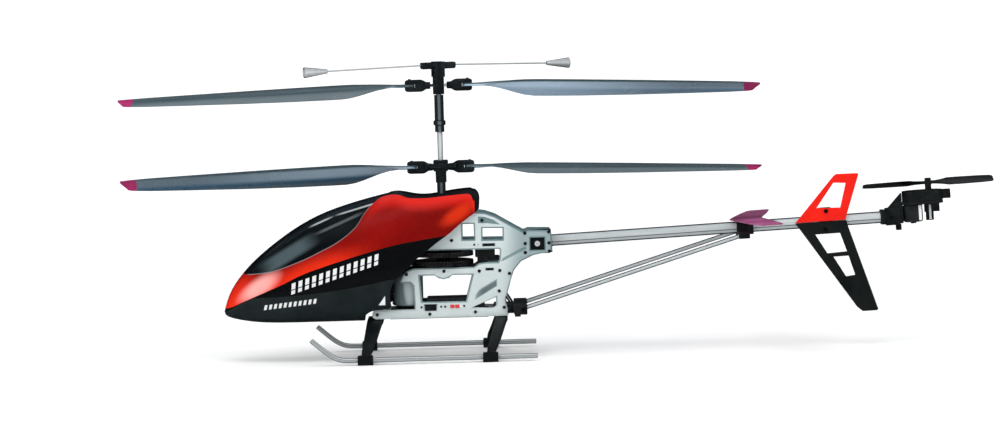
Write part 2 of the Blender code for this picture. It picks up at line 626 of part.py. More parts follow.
# (x, z), from the rear end to the turned-up nose
SKID_PATH = [
    (81.5, SKID_Z), (-86.0, SKID_Z), (-93.0, SKID_Z + 1.0), (-99.0, SKID_Z + 3.4),
    (-106.0, SKID_Z + 8.4), (-112.5, SKID_Z + 13.8), (-118.0, SKID_Z + 18.6)]
FOOT_CLAMPS = (("front", -70.6), ("rear", 40.2))      # name, middle x

for tag, side in SIDES:
    skid_y = side * SKID_Y
    bent_rod("skid_tube_" + tag, SKID_PATH, SKID_TUBE_R, 2, ALUMINIUM, (0, skid_y, 0))
    for place, foot_x in FOOT_CLAMPS:
        clamp = box("foot_clamp_%s_%s" % (place, tag), span(6.8, foot_x), span(4.6, skid_y),
                    (-35.6, -27.3), BLACK)
        cut(clamp, rod("foot_bore", (foot_x - 10, skid_y, SKID_Z),
                       (foot_x + 10, skid_y, SKID_Z), SKID_TUBE_R + RUNNING_FIT))

# ---------------------------------------------------------------- electronics
box("equipment_shelf", (-128.0, -46.4), span(15.0), (22.0, 23.6), BLACK)
board = box("receiver_board", (-112.0, -68.0), span(12.0), (24.0, 25.4), BOARD_GREEN)
join(board, box("chip", (-100.0, -88.0), span(6.0), (25.0, 27.2)))
join(board, rod("coil", (-78.0, 0.0, 25.0), (-78.0, 0.0, 31.0), 3.0, 12))
box("power_switch_body", (-17.2, -7.6), (-20.1, -15.2), (7.2, 12.0), BLACK)
box("power_switch_slider", (-16.2, -12.8), (-21.7, -20.3), (8.3, 10.9), BLACK)

# ---------------------------------------------------------------- canopy
CANOPY_T = 1.2
SEAM_Y = 0.15              # each half stops this far from the middle plane
NOSE_X, NOSE_Z = -198.4, 9.5
CANOPY_END = 36.0
LOW_ROWS, HIGH_ROWS = 5, 8      # rows below and above the widest line

# Lines of the shell, each as (x, value): top z, bottom z, half width, z of the
# widest line, and half width of the slot along the top.
TOP_LINE = [
    (NOSE_X, 9.6), (-197.2, 14.0), (-195.0, 21.0), (-191.0, 30.0), (-184.0, 40.0),
    (-171.0, 54.4), (-148.0, 73.0), (-126.0, 87.6), (-104.0, 98.0), (-82.0, 104.8),
    (-60.0, 110.5), (-39.0, 114.2), (-30.0, 112.0), (-17.0, 109.6), (-4.0, 110.8),
    (11.0, 113.4), (26.0, 114.8), (CANOPY_END, 114.6)]
BOTTOM_LINE = [
    (NOSE_X, 9.4), (-197.2, 6.6), (-195.0, 5.0), (-188.0, 2.8), (-176.0, 0.2),
    (-150.0, -2.0), (-66.0, -2.2), (CANOPY_END, -2.2)]
HALF_WIDTH = [
    (NOSE_X, 0.2), (-197.2, 4.0), (-195.0, 8.0), (-190.0, 13.0), (-182.0, 18.0),
    (-168.0, 24.0), (-148.0, 29.6), (-120.0, 34.0), (-88.0, 36.4), (-50.0, 36.4),
    (-10.0, 33.6), (20.0, 30.4), (CANOPY_END, 28.8)]
WIDEST_LINE = [
    (NOSE_X, NOSE_Z), (-190.0, 12.0), (-170.0, 18.0), (-130.0, 28.0), (-80.0, 36.0),
    (0.0, 44.0), (CANOPY_END, 48.0)]
SLOT_HALF_WIDTH = [
    (-46.5, SEAM_Y), (-45.0, 3.2), (-41.5, 8.4), (-35.0, 12.6), (-22.0, 15.4), (0.0, 16.4),
    (CANOPY_END, 16.2)]
# x of each column of points
CANOPY_STATIONS = [
    -197.2, -195.0, -191.0, -184.5, -175.0, -162.0, -146.0, -128.0, -108.0, -88.0, -70.0,
    -58.0, -50.0, -46.5, -45.0, -41.5, -35.0, -26.0, -16.0, -5.0, 8.0, 22.0, CANOPY_END]
# S-shaped rear opening, (x, z), that clears the frame, rail and front leg
REAR_OPENING = [
    (60, 130), (20.0, 130), (25.6, 115.4), (30.6, 112.6), (33.4, 108.0), (33.6, 101.0),
    (31.6, 96), (17.6, 85.8), (4.7, 75.4), (-4.0, 69.6), (-12.8, 62.8), (-23.4, 54.6),
    (-34.9, 43.6), (-43.2, 36.7), (-47.4, 27.8), (-48.0, 18.8), (-47.4, 12.6),
    (-52.0, 10.4), (-62.6, 9.4), (-69.4, 6.0), (-71.8, 1.4), (-71.8, -8), (60, -8)]


def canopy_column(x):
    """(y, z) points of the half shell at x, from the bottom seam up to the top edge."""
    width, top, bottom, middle, edge_y = (
        smooth_table(table, x)
        for table in (HALF_WIDTH, TOP_LINE, BOTTOM_LINE, WIDEST_LINE, SLOT_HALF_WIDTH))
    column = []
    for i in range(LOW_ROWS):
        angle = math.pi / 2 * (1 - i / LOW_ROWS)
        column.append((max(SEAM_Y, width * math.cos(angle) ** 0.72),
                       middle - (middle - bottom) * math.sin(angle) ** 0.85))
    top_angle = math.acos(edge_y / width)
    height = (top - middle) / math.sin(top_angle)
    for i in range(HIGH_ROWS):
        angle = top_angle * i / HIGH_ROWS
        column.append((max(SEAM_Y, width * math.cos(angle) ** 0.95),
                       middle + height * math.sin(angle)))
    column.append((edge_y, middle + height * math.sin(top_angle)))
    return column


def canopy_half(name, side):
    geometry = bmesh.new()

    def vertex(x, y, z):
        return geometry.verts.new((x * SCALE, side * y * SCALE, z * SCALE))

    def face(*corners):
        """Face wound for the port half; the starboard half runs the other way round."""
        geometry.faces.new(corners if side < 0 else corners[:1] + corners[:0:-1])

    columns = [[vertex(x, y, z) for y, z in canopy_column(x)] for x in CANOPY_STATIONS]
    for column, following in zip(columns, columns[1:]):
        for i in range(len(column) - 1):
            face(column[i], following[i], following[i + 1], column[i + 1])
    tip = vertex(NOSE_X, SEAM_Y, NOSE_Z)
    for low, high in zip(columns[0], columns[0][1:]):
        face(tip, low, high)

    shell = add_solid(name, mesh_from(name, geometry), CANOPY_RED)
    modifier = shell.modifiers.new("shell", "SOLIDIFY")
    modifier.thickness = CANOPY_T * SCALE
    modifier.offset = -1.0
    cut(shell, sheet(name + "_rear_cut", REAR_OPENING, 50.0, "XZ", side * 24.0))
    # trims anything that reaches the seam gap or the other half
    cut(shell, box(name + "_seam_cut", (-215.0, 60.0), mirrored(side, SEAM_Y, -12.0),
                   (-20.0, 140.0)))


for tag, side in SIDES:
    canopy_half("canopy_half_" + tag, side)

# ---------------------------------------------------------------- shafts and main gears
mast = axis("mast_axis")
OUTER_SHAFT_TOP = 130.4
INNER_SHAFT_TOP = 205.3

turned("outer_shaft", tube_profile(OUTER_SHAFT_R, OUTER_SHAFT_BORE, OUTER_SHAFT_TOP, 53.2),
       BLACK, mast, steps=24)
turned("inner_shaft", tube_profile(INNER_SHAFT_R, 0.5, INNER_SHAFT_TOP, 36.2), STEEL, mast)
for name, gear_z, shaft_radius, segments in (
        ("outer_main_gear", OUTER_GEAR_Z, OUTER_SHAFT_R, 24),
        ("inner_main_gear", INNER_GEAR_Z, INNER_SHAFT_R, 20)):
    sheet(name, gear_outline(MAIN_TEETH, GEAR_MODULE), MAIN_GEAR_T, "XY", gear_z,
          [circle(shaft_radius + FIT, segments)], BLACK, mast)

# Sleeve on the inner shaft between the rotors, with a raised collar; (radius, z).
SLEEVE_PROFILE = [
    (4.2, 199.2), (4.2, 176.6), (5.5, 175.8), (5.5, 172.6), (4.2, 171.8), (4.2, 166.0),
    (2.7, 166.0), (2.7, 199.2)]
turned("mast_sleeve", SLEEVE_PROFILE, BLACK, mast, steps=24)

# ---------------------------------------------------------------- blade grips
SPINDLE_R = 1.3
FOLD_BOLT_X = 26.0         # fold bolt distance from the mast axis
FOLD_BOLT_R = 1.15
# Waisted neck, deep jaw, rounded end: (distance from the mast, half width, half height)
GRIP_STATIONS = [
    (7.3, 3.0, 3.0), (11.0, 3.3, 3.2), (14.2, 4.4, 5.0), (16.0, 4.8, 5.4), (27.4, 4.8, 5.4),
    (29.4, 4.2, 4.8), (30.2, 3.0, 3.6)]
# Octagonal section, as shares of the half width and half height
GRIP_SECTION = [(-1, -0.7), (-0.7, -1), (0.7, -1), (1, -0.7),
                (1, 0.7), (0.7, 1), (-0.7, 1), (-1, 0.7)]


def grip(name, end, parent, mat=None):
    rings = [[(end * x, across * width, up * height) for across, up in GRIP_SECTION]
             for x, width, height in GRIP_STATIONS]
    return loft(name, rings, mat, parent)


def add_jaw(piece, end, parent, tag):
    """Slot for the blade root with the fold bolt across it, and the spindle bore."""
    bolt_x = end * FOLD_BOLT_X
    cut(piece, box("jaw_slot_" + tag, span(7.4, end * 28.5), span(8), span(1.6),
                   parent=parent))
    cut(piece, rod("spindle_bore_" + tag, (end * 5, 0, 0), (end * 12.6, 0, 0),
                   SPINDLE_R + RUNNING_FIT, 12, parent=parent))
    join(piece, rod("fold_bolt_" + tag, (bolt_x, 0, -4.4), (bolt_x, 0, 6.2), FOLD_BOLT_R, 12,
                    parent=parent))


# ---------------------------------------------------------------- main rotor blades
BLADE_DROOP = 1.7          # degrees below the hub plane
BLADE_PITCH_ROOT = 20.5    # degrees at the end of the root twist
BLADE_PITCH_TIP = 17.5
BLADE_ROOT = 21.4
TAB_END = 33.5             # the flat root tab ends here

# Each table is (radius from the mast, value).
LEADING_CHORD = [
    (BLADE_ROOT, 1.6), (22.4, 3.2), (24.0, 4.2), (26.0, 4.6), (TAB_END, 4.6), (46.0, 7.0),
    (62.0, 10.0), (80.0, 12.0), (95.0, 12.4), (270.0, 9.0), (ROTOR_R, 6.0)]
TRAILING_CHORD = [
    (BLADE_ROOT, 1.6), (22.4, 3.2), (24.0, 4.2), (26.0, 4.6), (TAB_END, 4.6), (46.0, 6.0),
    (60.0, 14.0), (78.0, 24.0), (88.0, 26.2), (100.0, 26.2), (270.0, 17.4), (ROTOR_R, 13.6)]
BLADE_PITCH = [
    (BLADE_ROOT, 0.0), (TAB_END, 0.0), (46.0, 9.0), (62.0, 17.0), (80.0, BLADE_PITCH_ROOT),
    (ROTOR_R, BLADE_PITCH_TIP)]
BLADE_THICKNESS = [
    (BLADE_ROOT, 2.6), (TAB_END, 2.6), (46.0, 2.6), (80.0, 2.4), (200.0, 1.8),
    (ROTOR_R, 1.2)]
BLADE_STATIONS = [
    BLADE_ROOT, 22.3, 23.7, 29.0, TAB_END, 39.5, 46.0, 54.0, 62.0, 70.0, 78.0, 86.0, 96.0,
    130.0, 175.0, 225.0, 262.0, 280.0, ROTOR_R]
# Section: (chord share, leading edge at 1 and trailing edge at -1; half thickness share)
BLADE_SECTION = [
    (1.0, 0.0), (0.86, 0.55), (0.55, 1.0), (0.0, 0.95), (-0.5, 0.7), (-1.0, 0.22),
    (-1.0, -0.22), (-0.5, -0.45), (0.0, -0.5), (0.55, -0.5), (0.86, -0.4)]


def tab_height(chord, height):
    """Half thickness share on the flat root tab, above or below as `height` is."""
    if height == 0:
        return 0.0
    return math.copysign(0.6 if chord == -1.0 else 1.0 - 0.10 * chord * chord, height)


def blade_ring(radius, end, lead):
    lead_chord, trail_chord, pitch, thickness = (
        smooth_table(table, radius)
        for table in (LEADING_CHORD, TRAILING_CHORD, BLADE_PITCH, BLADE_THICKNESS))
    pitch_cos, pitch_sin = math.cos(math.radians(pitch)), math.sin(math.radians(pitch))
    # 0 on the root tab, 1 where the full section is reached
    section_share = clamp01((radius - TAB_END) / 20.0)
    camber = 0.9 * section_share
    # the trailing edge is cut back towards the tip
    tip_cut = 6.0 if radius > 285 else 2.0 if radius > 275 else 0.0
    droop = ((radius - FOLD_BOLT_X) * math.tan(math.radians(BLADE_DROOP))
             * clamp01((radius - 30) / 20))
    ring = []
    for chord, height in BLADE_SECTION:
        height = height * section_share + (1 - section_share) * tab_height(chord, height)
        y = chord * (lead_chord if chord > 0 else trail_chord)
        z = height * thickness / 2 * 1.15 + camber * (1 - chord * chord)
        along = radius - tip_cut * max(0.0, -chord)
        ring.append((end * (along - FOLD_BOLT_X),
                     lead * (y * pitch_cos - z * pitch_sin),
                     y * pitch_sin + z * pitch_cos - droop))
    return ring


def blade(name, end, lead, parent):
    """Flat root tab, then a twisted, tapering, cambered blade, with its origin on the
    fold bolt. `end` is the X sign of the blade, `lead` the Y sign of its leading edge."""
    bolt_x = end * FOLD_BOLT_X
    rings = [blade_ring(radius, end, lead) for radius in BLADE_STATIONS]
    piece = loft(name, rings, BLADE_BLACK, parent, (bolt_x, 0, 0))
    cut(piece, rod(name + "_bolt_hole", (bolt_x, 0, -4), (bolt_x, 0, 4), FOLD_BOLT_R + FIT, 12,
                   parent=parent))


# ---------------------------------------------------------------- lower rotor (outer shaft)
hub = box("lower_hub", span(6.6), span(5.6), (130.7, 140.8), BLACK, mast, bevel=0.8)
join(hub, rod("lower_neck", (0, 0, 120.8), (0, 0, 131.6), 4.9, 24, parent=mast))
for _, end in ENDS:
    join(hub, rod("lower_stub", (end * 5.5, 0, LOWER_Z), (end * 11.2, 0, LOWER_Z), SPINDLE_R,
                  12, parent=mast))
cut(hub, rod("lower_neck_bore", (0, 0, 115), (0, 0, 130.9), OUTER_SHAFT_R + FIT, 24,
             parent=mast))
cut(hub, rod("lower_hub_bore", (0, 0, 130.0), (0, 0, 150), OUTER_SHAFT_BORE, 20, parent=mast))

# Both lower grips and the rectangular frame round the hub are one piece.
YOKE_X = 13.4
YOKE_HALF_T = 1.8
lower_tilt = axis("lower_teeter_axis", (0, 0, LOWER_Z), (LOWER_TEETER, 0, 0), mast)
yoke = grip("lower_yoke", -1, lower_tilt, BLACK)
join(yoke, grip("lower_grip_aft_half", 1, lower_tilt))
for tag, side in SIDES:
    join(yoke, box("yoke_bar_" + tag, span(YOKE_X), mirrored(side, 7.3, 9.3),
                   span(YOKE_HALF_T), parent=lower_tilt))
for tag, end in ENDS:
    join(yoke, box("yoke_end_" + tag, mirrored(end, 10.8, YOKE_X), span(8.8),
                   span(YOKE_HALF_T), parent=lower_tilt))
for tag, end in ENDS:
    add_jaw(yoke, end, lower_tilt, "lower_" + tag)
    blade("lower_blade_" + tag, end, end, lower_tilt)

# ---------------------------------------------------------------- upper rotor (inner shaft)
FORK_PIN_R = 0.85
fork = axis("flybar_pivot_axis", (0, 0, FLYBAR_PIN_Z), (0, 0, FLYBAR_YAW), mast)
hub = rod("upper_hub", (0, 0, 199.9), (0, 0, 217.6), 5.1, 24, BLACK, mast)
for tag, side in SIDES:
    join(hub, box("fork_cheek_" + tag, span(4.9), mirrored(side, 3.3, 5.2), (-8.0, 5.8),
                  parent=fork))
join(hub, rod("fork_pin", (0, -4.6, 0), (0, 4.6, 0), FORK_PIN_R, 12, parent=fork))
cut(hub, rod("upper_hub_bore", (0, 0, 190), (0, 0, 205.7), INNER_SHAFT_R + FIT, 20,
             parent=mast))
cut(hub, rod("upper_spindle_bore", (-9, 0, UPPER_Z), (9, 0, UPPER_Z), SPINDLE_R + FIT, 12,
             parent=mast))

HORN_X, HORN_Y = 11.4, 9.2      # outer corner of the L-shaped horn on each grip
upper_tilt = axis("upper_teeter_axis", (0, 0, UPPER_Z), (UPPER_TEETER, 0, 0), mast)
rod("upper_spindle", (-12.2, 0, 0), (12.2, 0, 0), SPINDLE_R, 12, STEEL, upper_tilt)
for tag, end in ENDS:
    upper_grip = grip("upper_grip_" + tag, end, upper_tilt, BLACK)
    join(upper_grip, box("horn_" + tag, mirrored(end, 9.2, HORN_X), mirrored(end, 2.0, HORN_Y),
                         span(0.9), parent=upper_tilt))
    join(upper_grip, box("horn_tip_" + tag, mirrored(end, 0.6, HORN_X),
                         mirrored(end, 7.1, HORN_Y), span(0.9), parent=upper_tilt))
    add_jaw(upper_grip, end, upper_tilt, "upper_" + tag)
    blade("upper_blade_" + tag, end, -end, upper_tilt)

# ---------------------------------------------------------------- flybar
# Heights are above the fork pin.
ROD_Z = 2.6
FLYBAR_ROD_R = 0.8
FLYBAR_BEND_X = 17.0       # the rod droops outside this point
FLYBAR_DROP = 2.3          # drop from the bend to the rod end

# (x, half width, depth below the rod, height above the rod)
HOLDER_STATIONS = [
    (-16.2, 1.9, 2.4, 2.1), (-14.6, 2.6, 3.4, 2.6), (-6.0, 2.6, 3.4, 2.6),
    (-4.6, 2.6, 4.8, 2.6), (4.6, 2.6, 4.8, 2.6), (6.0, 2.6, 3.4, 2.6),
    (14.6, 2.6, 3.4, 2.6), (16.2, 1.9, 2.4, 2.1)]
holder_rings = [[(x, -width, ROD_Z - below), (x, width, ROD_Z - below),
                 (x, width, ROD_Z + above), (x, -width, ROD_Z + above)]
                for x, width, below, above in HOLDER_STATIONS]
holder = loft("flybar_holder", holder_rings, BLACK, fork)
ARM_X, ARM_Y = 9.0, 7.9         # outer corner of the L-shaped link arms
for tag, end in ENDS:
    join(holder, box("link_arm_" + tag, mirrored(end, 6.6, ARM_X), mirrored(end, 0.0, ARM_Y),
                     span(1.4, ROD_Z), parent=fork))
    join(holder, box("link_arm_tip_" + tag, mirrored(end, 5.6, ARM_X),
                     mirrored(end, 6.3, ARM_Y), span(1.4, ROD_Z), parent=fork))
cut(holder, rod("holder_pin_bore", (0, -6, 0), (0, 6, 0), FORK_PIN_R + RUNNING_FIT, 12,
                parent=fork))
cut(holder, rod("holder_rod_bore", (-20, 0, ROD_Z), (20, 0, ROD_Z), FLYBAR_ROD_R + FIT, 12,
                parent=fork))

flybar_path = [(-FLYBAR_R, ROD_Z - FLYBAR_DROP), (-FLYBAR_BEND_X, ROD_Z),
               (FLYBAR_BEND_X, ROD_Z), (FLYBAR_R, ROD_Z - FLYBAR_DROP)]
bent_rod("flybar_rod", flybar_path, FLYBAR_ROD_R, 1, STEEL, parent=fork)

# Bell-shaped weight, (radius, distance outward along the rod)
BELL_PROFILE = [
    (4.7, 21.5), (4.7, 20.0), (2.1, 1.6), (1.9, 0.0), (1.12, 0.0), (1.12, 15.6), (3.7, 17.2),
    (4.1, 21.5)]
flybar_slope = FLYBAR_DROP / (FLYBAR_R - FLYBAR_BEND_X)
rod_lean = math.degrees(math.atan(flybar_slope))
weight_x = FLYBAR_R - 18.2
weight_z = ROD_Z - (weight_x - FLYBAR_BEND_X) * flybar_slope
for tag, end in ENDS:
    turned("flybar_weight_" + tag, BELL_PROFILE, STEEL, fork, (end * weight_x, 0, weight_z),
           (0, end * (90 + rod_lean), 0), steps=16)
    box("flybar_link_" + tag, span(1.2, end * 4.1), span(0.8, end * 7.1),
        (-13.0, ROD_Z + 1.8), BLACK, fork)
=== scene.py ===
"""Coaxial radio-controlled helicopter in a light studio.

Nose towards -X, tail boom towards +X, port side -Y, rotor shaft up the Z axis at the origin.
Pieces are measured in millimetres and scaled to metres by MM. Material code that reads
object coordinates works in metres unless it says otherwise.
"""
import bpy
import bmesh
import math
from mathutils import Vector, Matrix


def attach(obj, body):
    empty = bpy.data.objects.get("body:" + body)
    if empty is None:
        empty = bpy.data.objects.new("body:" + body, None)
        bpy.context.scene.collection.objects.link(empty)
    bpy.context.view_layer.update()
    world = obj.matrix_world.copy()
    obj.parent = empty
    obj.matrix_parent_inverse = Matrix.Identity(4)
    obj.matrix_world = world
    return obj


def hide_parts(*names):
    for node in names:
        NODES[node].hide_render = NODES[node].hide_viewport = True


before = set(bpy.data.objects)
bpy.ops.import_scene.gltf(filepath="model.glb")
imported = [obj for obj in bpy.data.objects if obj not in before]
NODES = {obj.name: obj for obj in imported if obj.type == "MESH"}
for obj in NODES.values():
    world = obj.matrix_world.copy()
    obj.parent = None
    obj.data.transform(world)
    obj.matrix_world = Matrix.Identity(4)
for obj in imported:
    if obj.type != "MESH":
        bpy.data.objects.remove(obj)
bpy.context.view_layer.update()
MM = 0.001

MOTOR_X = -31.2
BOOM_ROOT = (97.0, 0, 65.83)
BOOM_RISE = math.radians(2.394)
# boom frame: X runs aft along the tail boom
BOOM_FRAME = Matrix.Translation(Vector(BOOM_ROOT) * MM) @ Matrix.Rotation(-BOOM_RISE, 4, "Y")
WORLD_FRAME = Matrix.Identity(4)
SIDES = (("port", -1), ("starboard", 1))
SMOOTH_ANGLE = math.radians(33)
BEVEL_ANGLE = math.radians(34)


# ------------------------------------------------------------------ shader helpers
class Graph:
    """Short calls for adding linked nodes to a shader tree."""

    def __init__(self, tree):
        self.tree = tree

    def set(self, node, socket, value):
        """Links a socket to an input, or stores a plain value; RGB gets its alpha."""
        target = node.inputs[socket]
        if isinstance(value, bpy.types.NodeSocket):
            self.tree.links.new(value, target)
        elif target.type == "RGBA" and len(value) == 3:
            target.default_value = (*value, 1.0)
        else:
            target.default_value = value

    def add(self, kind, inputs=None, **settings):
        node = self.tree.nodes.new("ShaderNode" + kind)
        for name, value in settings.items():
            setattr(node, name, value)
        for socket, value in (inputs or {}).items():
            self.set(node, socket, value)
        return node

    def math(self, operation, *values, clamp=False):
        inputs = dict(enumerate(values))
        return self.add("Math", inputs, operation=operation, use_clamp=clamp).outputs[0]

    def mul(self, product, *factors):
        for factor in factors:
            product = self.math("MULTIPLY", product, factor)
        return product

    def plus(self, a, b):
        return self.math("ADD", a, b)

    def minus(self, a, b):
        return self.math("SUBTRACT", a, b)

    def split(self, vector):
        return tuple(self.add("SeparateXYZ", {0: vector}).outputs)

    def ramp(self, value, start=0.3, end=0.7, low=0.0, high=1.0):
        """Smooth step from low at start to high at end; the default span suits a noise."""
        inputs = {"Value": value, "From Min": start, "From Max": end,
                  "To Min": low, "To Max": high}
        return self.add("MapRange", inputs, interpolation_type="SMOOTHSTEP").outputs["Result"]


class Mat(Graph):
    """A new Principled material and its texture coordinates."""

    SOCKETS = {"colour": "Base Color", "rough": "Roughness", "metal": "Metallic",
               "normal": "Normal", "coat": "Coat Weight", "coat_rough": "Coat Roughness",
               "spec": "Specular IOR Level"}

    def __init__(self, name):
        self.material = bpy.data.materials.new(name)
        self.material.use_nodes = True
        super().__init__(self.material.node_tree)
        self.shader = self.tree.nodes["Principled BSDF"]
        self.coord = self.add("TexCoord")
        self.place = self.coord.outputs["Object"]

    def math(self, operation, a, b=0.0, clamp=False):
        return super().math(operation, a, b, 0.0, clamp=clamp)

    def abs(self, value):
        return self.math("ABSOLUTE", value)

    def max(self, a, b):
        return self.math("MAXIMUM", a, b)

    def noise(self, scale=1.0, detail=3.0, rough=0.5, stretch=None):
        """Noise over object coordinates; stretch is a frequency per axis."""
        vector = self.place
        if stretch:
            vector = self.add("Mapping", {"Scale": stretch, "Vector": vector}).outputs[0]
        inputs = {"Scale": scale, "Detail": detail, "Roughness": rough, "Vector": vector}
        return self.add("TexNoise", inputs).outputs["Fac"]

    def mix(self, factor, base, over):
        return self.add("Mix", {0: factor, 6: base, 7: over}, data_type="RGBA").outputs[2]

    def mix_value(self, factor, base, over):
        return self.add("Mix", {0: factor, 2: base, 3: over}, data_type="FLOAT").outputs[0]

    def bump(self, height, strength, distance, normal=None):
        inputs = {"Strength": strength, "Distance": distance, "Height": height}
        if normal is not None:
            inputs["Normal"] = normal
        return self.add("Bump", inputs).outputs[0]

    def edge(self, radius):
        """1 on convex and concave edges, 0 on open faces."""
        bevel = self.add("Bevel", {"Radius": radius}, samples=4)
        flat = self.add("NewGeometry").outputs["Normal"]
        dot = self.add("VectorMath", {0: bevel.outputs[0], 1: flat}, operation="DOT_PRODUCT")
        return self.ramp(dot.outputs["Value"], 0.995, 0.86)

    def finish(self, **values):
        for key, value in values.items():
            if value is not None:
                self.set(self.shader, self.SOCKETS[key], value)
        return self.material


def scaled(colour, factor):
    return tuple(factor * c for c in colour)


def paler(colour, gain, lift):
    return tuple(min(1.0, c * gain + lift) for c in colour)


# ------------------------------------------------------------------ material families
def moulded_plastic(name, dark, light, rough, grain=2200.0, grain_strength=0.12, wear=0.35):
    """Injection-moulded plastic: fine grain, cloudy sheen, paler rubbed edges."""
    mat = Mat(name)
    cloud = mat.noise(38.0, detail=4.0, rough=0.6)
    fine = mat.noise(grain, detail=2.0, rough=0.6)
    scuff = mat.noise(260.0, detail=5.0, rough=0.7)
    colour = mat.mix(mat.ramp(cloud, 0.35, 0.7), dark, light)
    rubbed = mat.mul(mat.edge(radius=0.0005), mat.ramp(scuff, 0.42, 0.62))
    colour = mat.mix(mat.mul(rubbed, wear), colour, paler(light, gain=3.0, lift=0.08))
    sheen = mat.plus(mat.ramp(cloud, low=rough - 0.07, high=rough + 0.08),
                     mat.ramp(scuff, 0.45, 0.75, high=0.10))
    normal = mat.bump(fine, strength=grain_strength, distance=0.00008)
    return mat.finish(colour=colour, rough=sheen, metal=0.0, normal=normal, spec=0.28)


def worked_metal(name, base, rough, streak, streak_strength=0.10, tint=0.06, smudge=0.10,
                 edge_gain=0.25):
    """Directional streaks, handling smudges, brighter cut edges."""
    mat = Mat(name)
    streaks = mat.noise(detail=4.0, rough=0.65, stretch=streak)
    cloud = mat.noise(55.0, detail=4.0, rough=0.6)
    speck = mat.noise(900.0, detail=2.0)
    colour = mat.mix(mat.ramp(streaks), scaled(base, 1.0 - tint * 2.2), base)
    bright_edge = mat.mul(mat.edge(radius=0.0004), edge_gain)
    colour = mat.mix(bright_edge, colour, (0.93, 0.95, 0.96))
    sheen = mat.plus(mat.ramp(cloud, 0.35, 0.7, low=rough - 0.04, high=rough + smudge),
                     mat.ramp(streaks, 0.3, 0.75, high=0.07))
    normal = mat.bump(streaks, strength=streak_strength, distance=0.00005)
    normal = mat.bump(speck, strength=streak_strength * 0.5, distance=0.00003, normal=normal)
    return mat.finish(colour=colour, rough=sheen, metal=1.0, normal=normal)


def drawn_tube_painted_reflections(name, low, high, dark, rim, painted_glint=None, painted_glint_reach=0.10, line=None, metal=0.38,
               rough=0.2, draw=(25, 2600, 2600)):
    """Turned or drawn metal with painted reflections: a painted dark rim where it turns away from
    the eye.

    rim: facing range of the painted dark rim, in the dark colour; the glint colour and its
    reach give a painted glint where the piece faces the eye; line: normal Z of a painted dark
    reflection line round the piece, with painted shade below it; draw: draw-line frequencies.
    """
    mat = Mat(name)
    facing = mat.add("LayerWeight", {"Blend": 0.5}).outputs["Facing"]
    edge = mat.ramp(facing, *rim)
    drawing = mat.noise(detail=4.0, rough=0.6, stretch=draw)
    cloud = mat.noise(30.0, detail=4.0, rough=0.6)
    colour = mat.mix(mat.ramp(drawing), low, high)
    dulled = mat.mul(mat.ramp(cloud, 0.5, 0.8), 0.15)
    colour = mat.mix(dulled, colour, scaled(low, 0.75))
    # painted glint where the surface faces the eye
    if painted_glint:
        colour = mat.mix(mat.ramp(facing, painted_glint_reach, painted_glint_reach * 0.25), colour, painted_glint)
    # painted dark rim where the surface turns away from the eye
    colour = mat.mix(edge, colour, dark)
    # painted dark reflection line round the piece, with painted shade below it
    if line is not None:
        up = mat.split(mat.coord.outputs["Normal"])[2]
        band = mat.ramp(mat.abs(mat.minus(up, line)), 0.13, 0.04)
        below = mat.ramp(up, line, line - 0.1)
        shade = mat.mul(below, mat.minus(1.0, edge), 0.45)
        colour = mat.mix(shade, colour, scaled(low, 0.55))
        colour = mat.mix(mat.mul(band, 0.8), colour, dark)
    return mat.finish(colour=colour, rough=mat.ramp(cloud, low=rough - 0.04, high=rough + 0.06),
                      metal=metal, normal=mat.bump(drawing, strength=0.05, distance=0.00003))


def gloss_plastic(name, dark, light, rough, coat, spec=None):
    """Smooth plastic with orange peel and lightly rubbed edges."""
    mat = Mat(name)
    cloud = mat.noise(detail=4.0, rough=0.6, stretch=(30, 30, 30))
    speck = mat.noise(1700.0, detail=2.0, rough=0.6)
    peel = mat.noise(420.0, detail=2.0)
    colour = mat.mix(mat.ramp(cloud), dark, light)
    wear = mat.noise(240.0, detail=4.0, rough=0.7)
    rubbed = mat.mul(mat.edge(radius=0.0005), mat.ramp(wear, 0.45, 0.65))
    colour = mat.mix(mat.mul(rubbed, 0.3), colour, paler(light, gain=1.6, lift=0.12))
    sheen = mat.plus(mat.ramp(cloud, low=rough - 0.04, high=rough + 0.06),
                     mat.ramp(speck, 0.5, 0.8, high=0.05))
    return mat.finish(colour=colour, rough=sheen, metal=0.0,
                      normal=mat.bump(peel, strength=0.06, distance=0.0001),
                      coat=coat, coat_rough=0.06, spec=spec)


# ------------------------------------------------------------------ materials
BLACK = moulded_plastic(
    "mat_black_plastic", (0.004, 0.0055, 0.006), (0.010, 0.013, 0.014), rough=0.34)
BLACK_SATIN = moulded_plastic(
    "mat_black_satin", (0.005, 0.0065, 0.007), (0.012, 0.015, 0.016), rough=0.44,
    grain=1500.0, grain_strength=0.2)
GEAR = moulded_plastic(
    "mat_gear_acetal", (0.006, 0.006, 0.007), (0.014, 0.014, 0.016), rough=0.30,
    grain=3000.0, grain_strength=0.06, wear=0.5)
HUB = moulded_plastic(
    "mat_hub_plastic", (0.004, 0.006, 0.007), (0.011, 0.015, 0.018), rough=0.22,
    grain=1800.0, grain_strength=0.08, wear=0.6)
WHITE = moulded_plastic(
    "mat_white_nylon", (0.70, 0.71, 0.70), (0.82, 0.83, 0.82), rough=0.38)
ENDBELL = moulded_plastic(
    "mat_motor_endbell", (0.012, 0.012, 0.013), (0.03, 0.03, 0.032), rough=0.40)
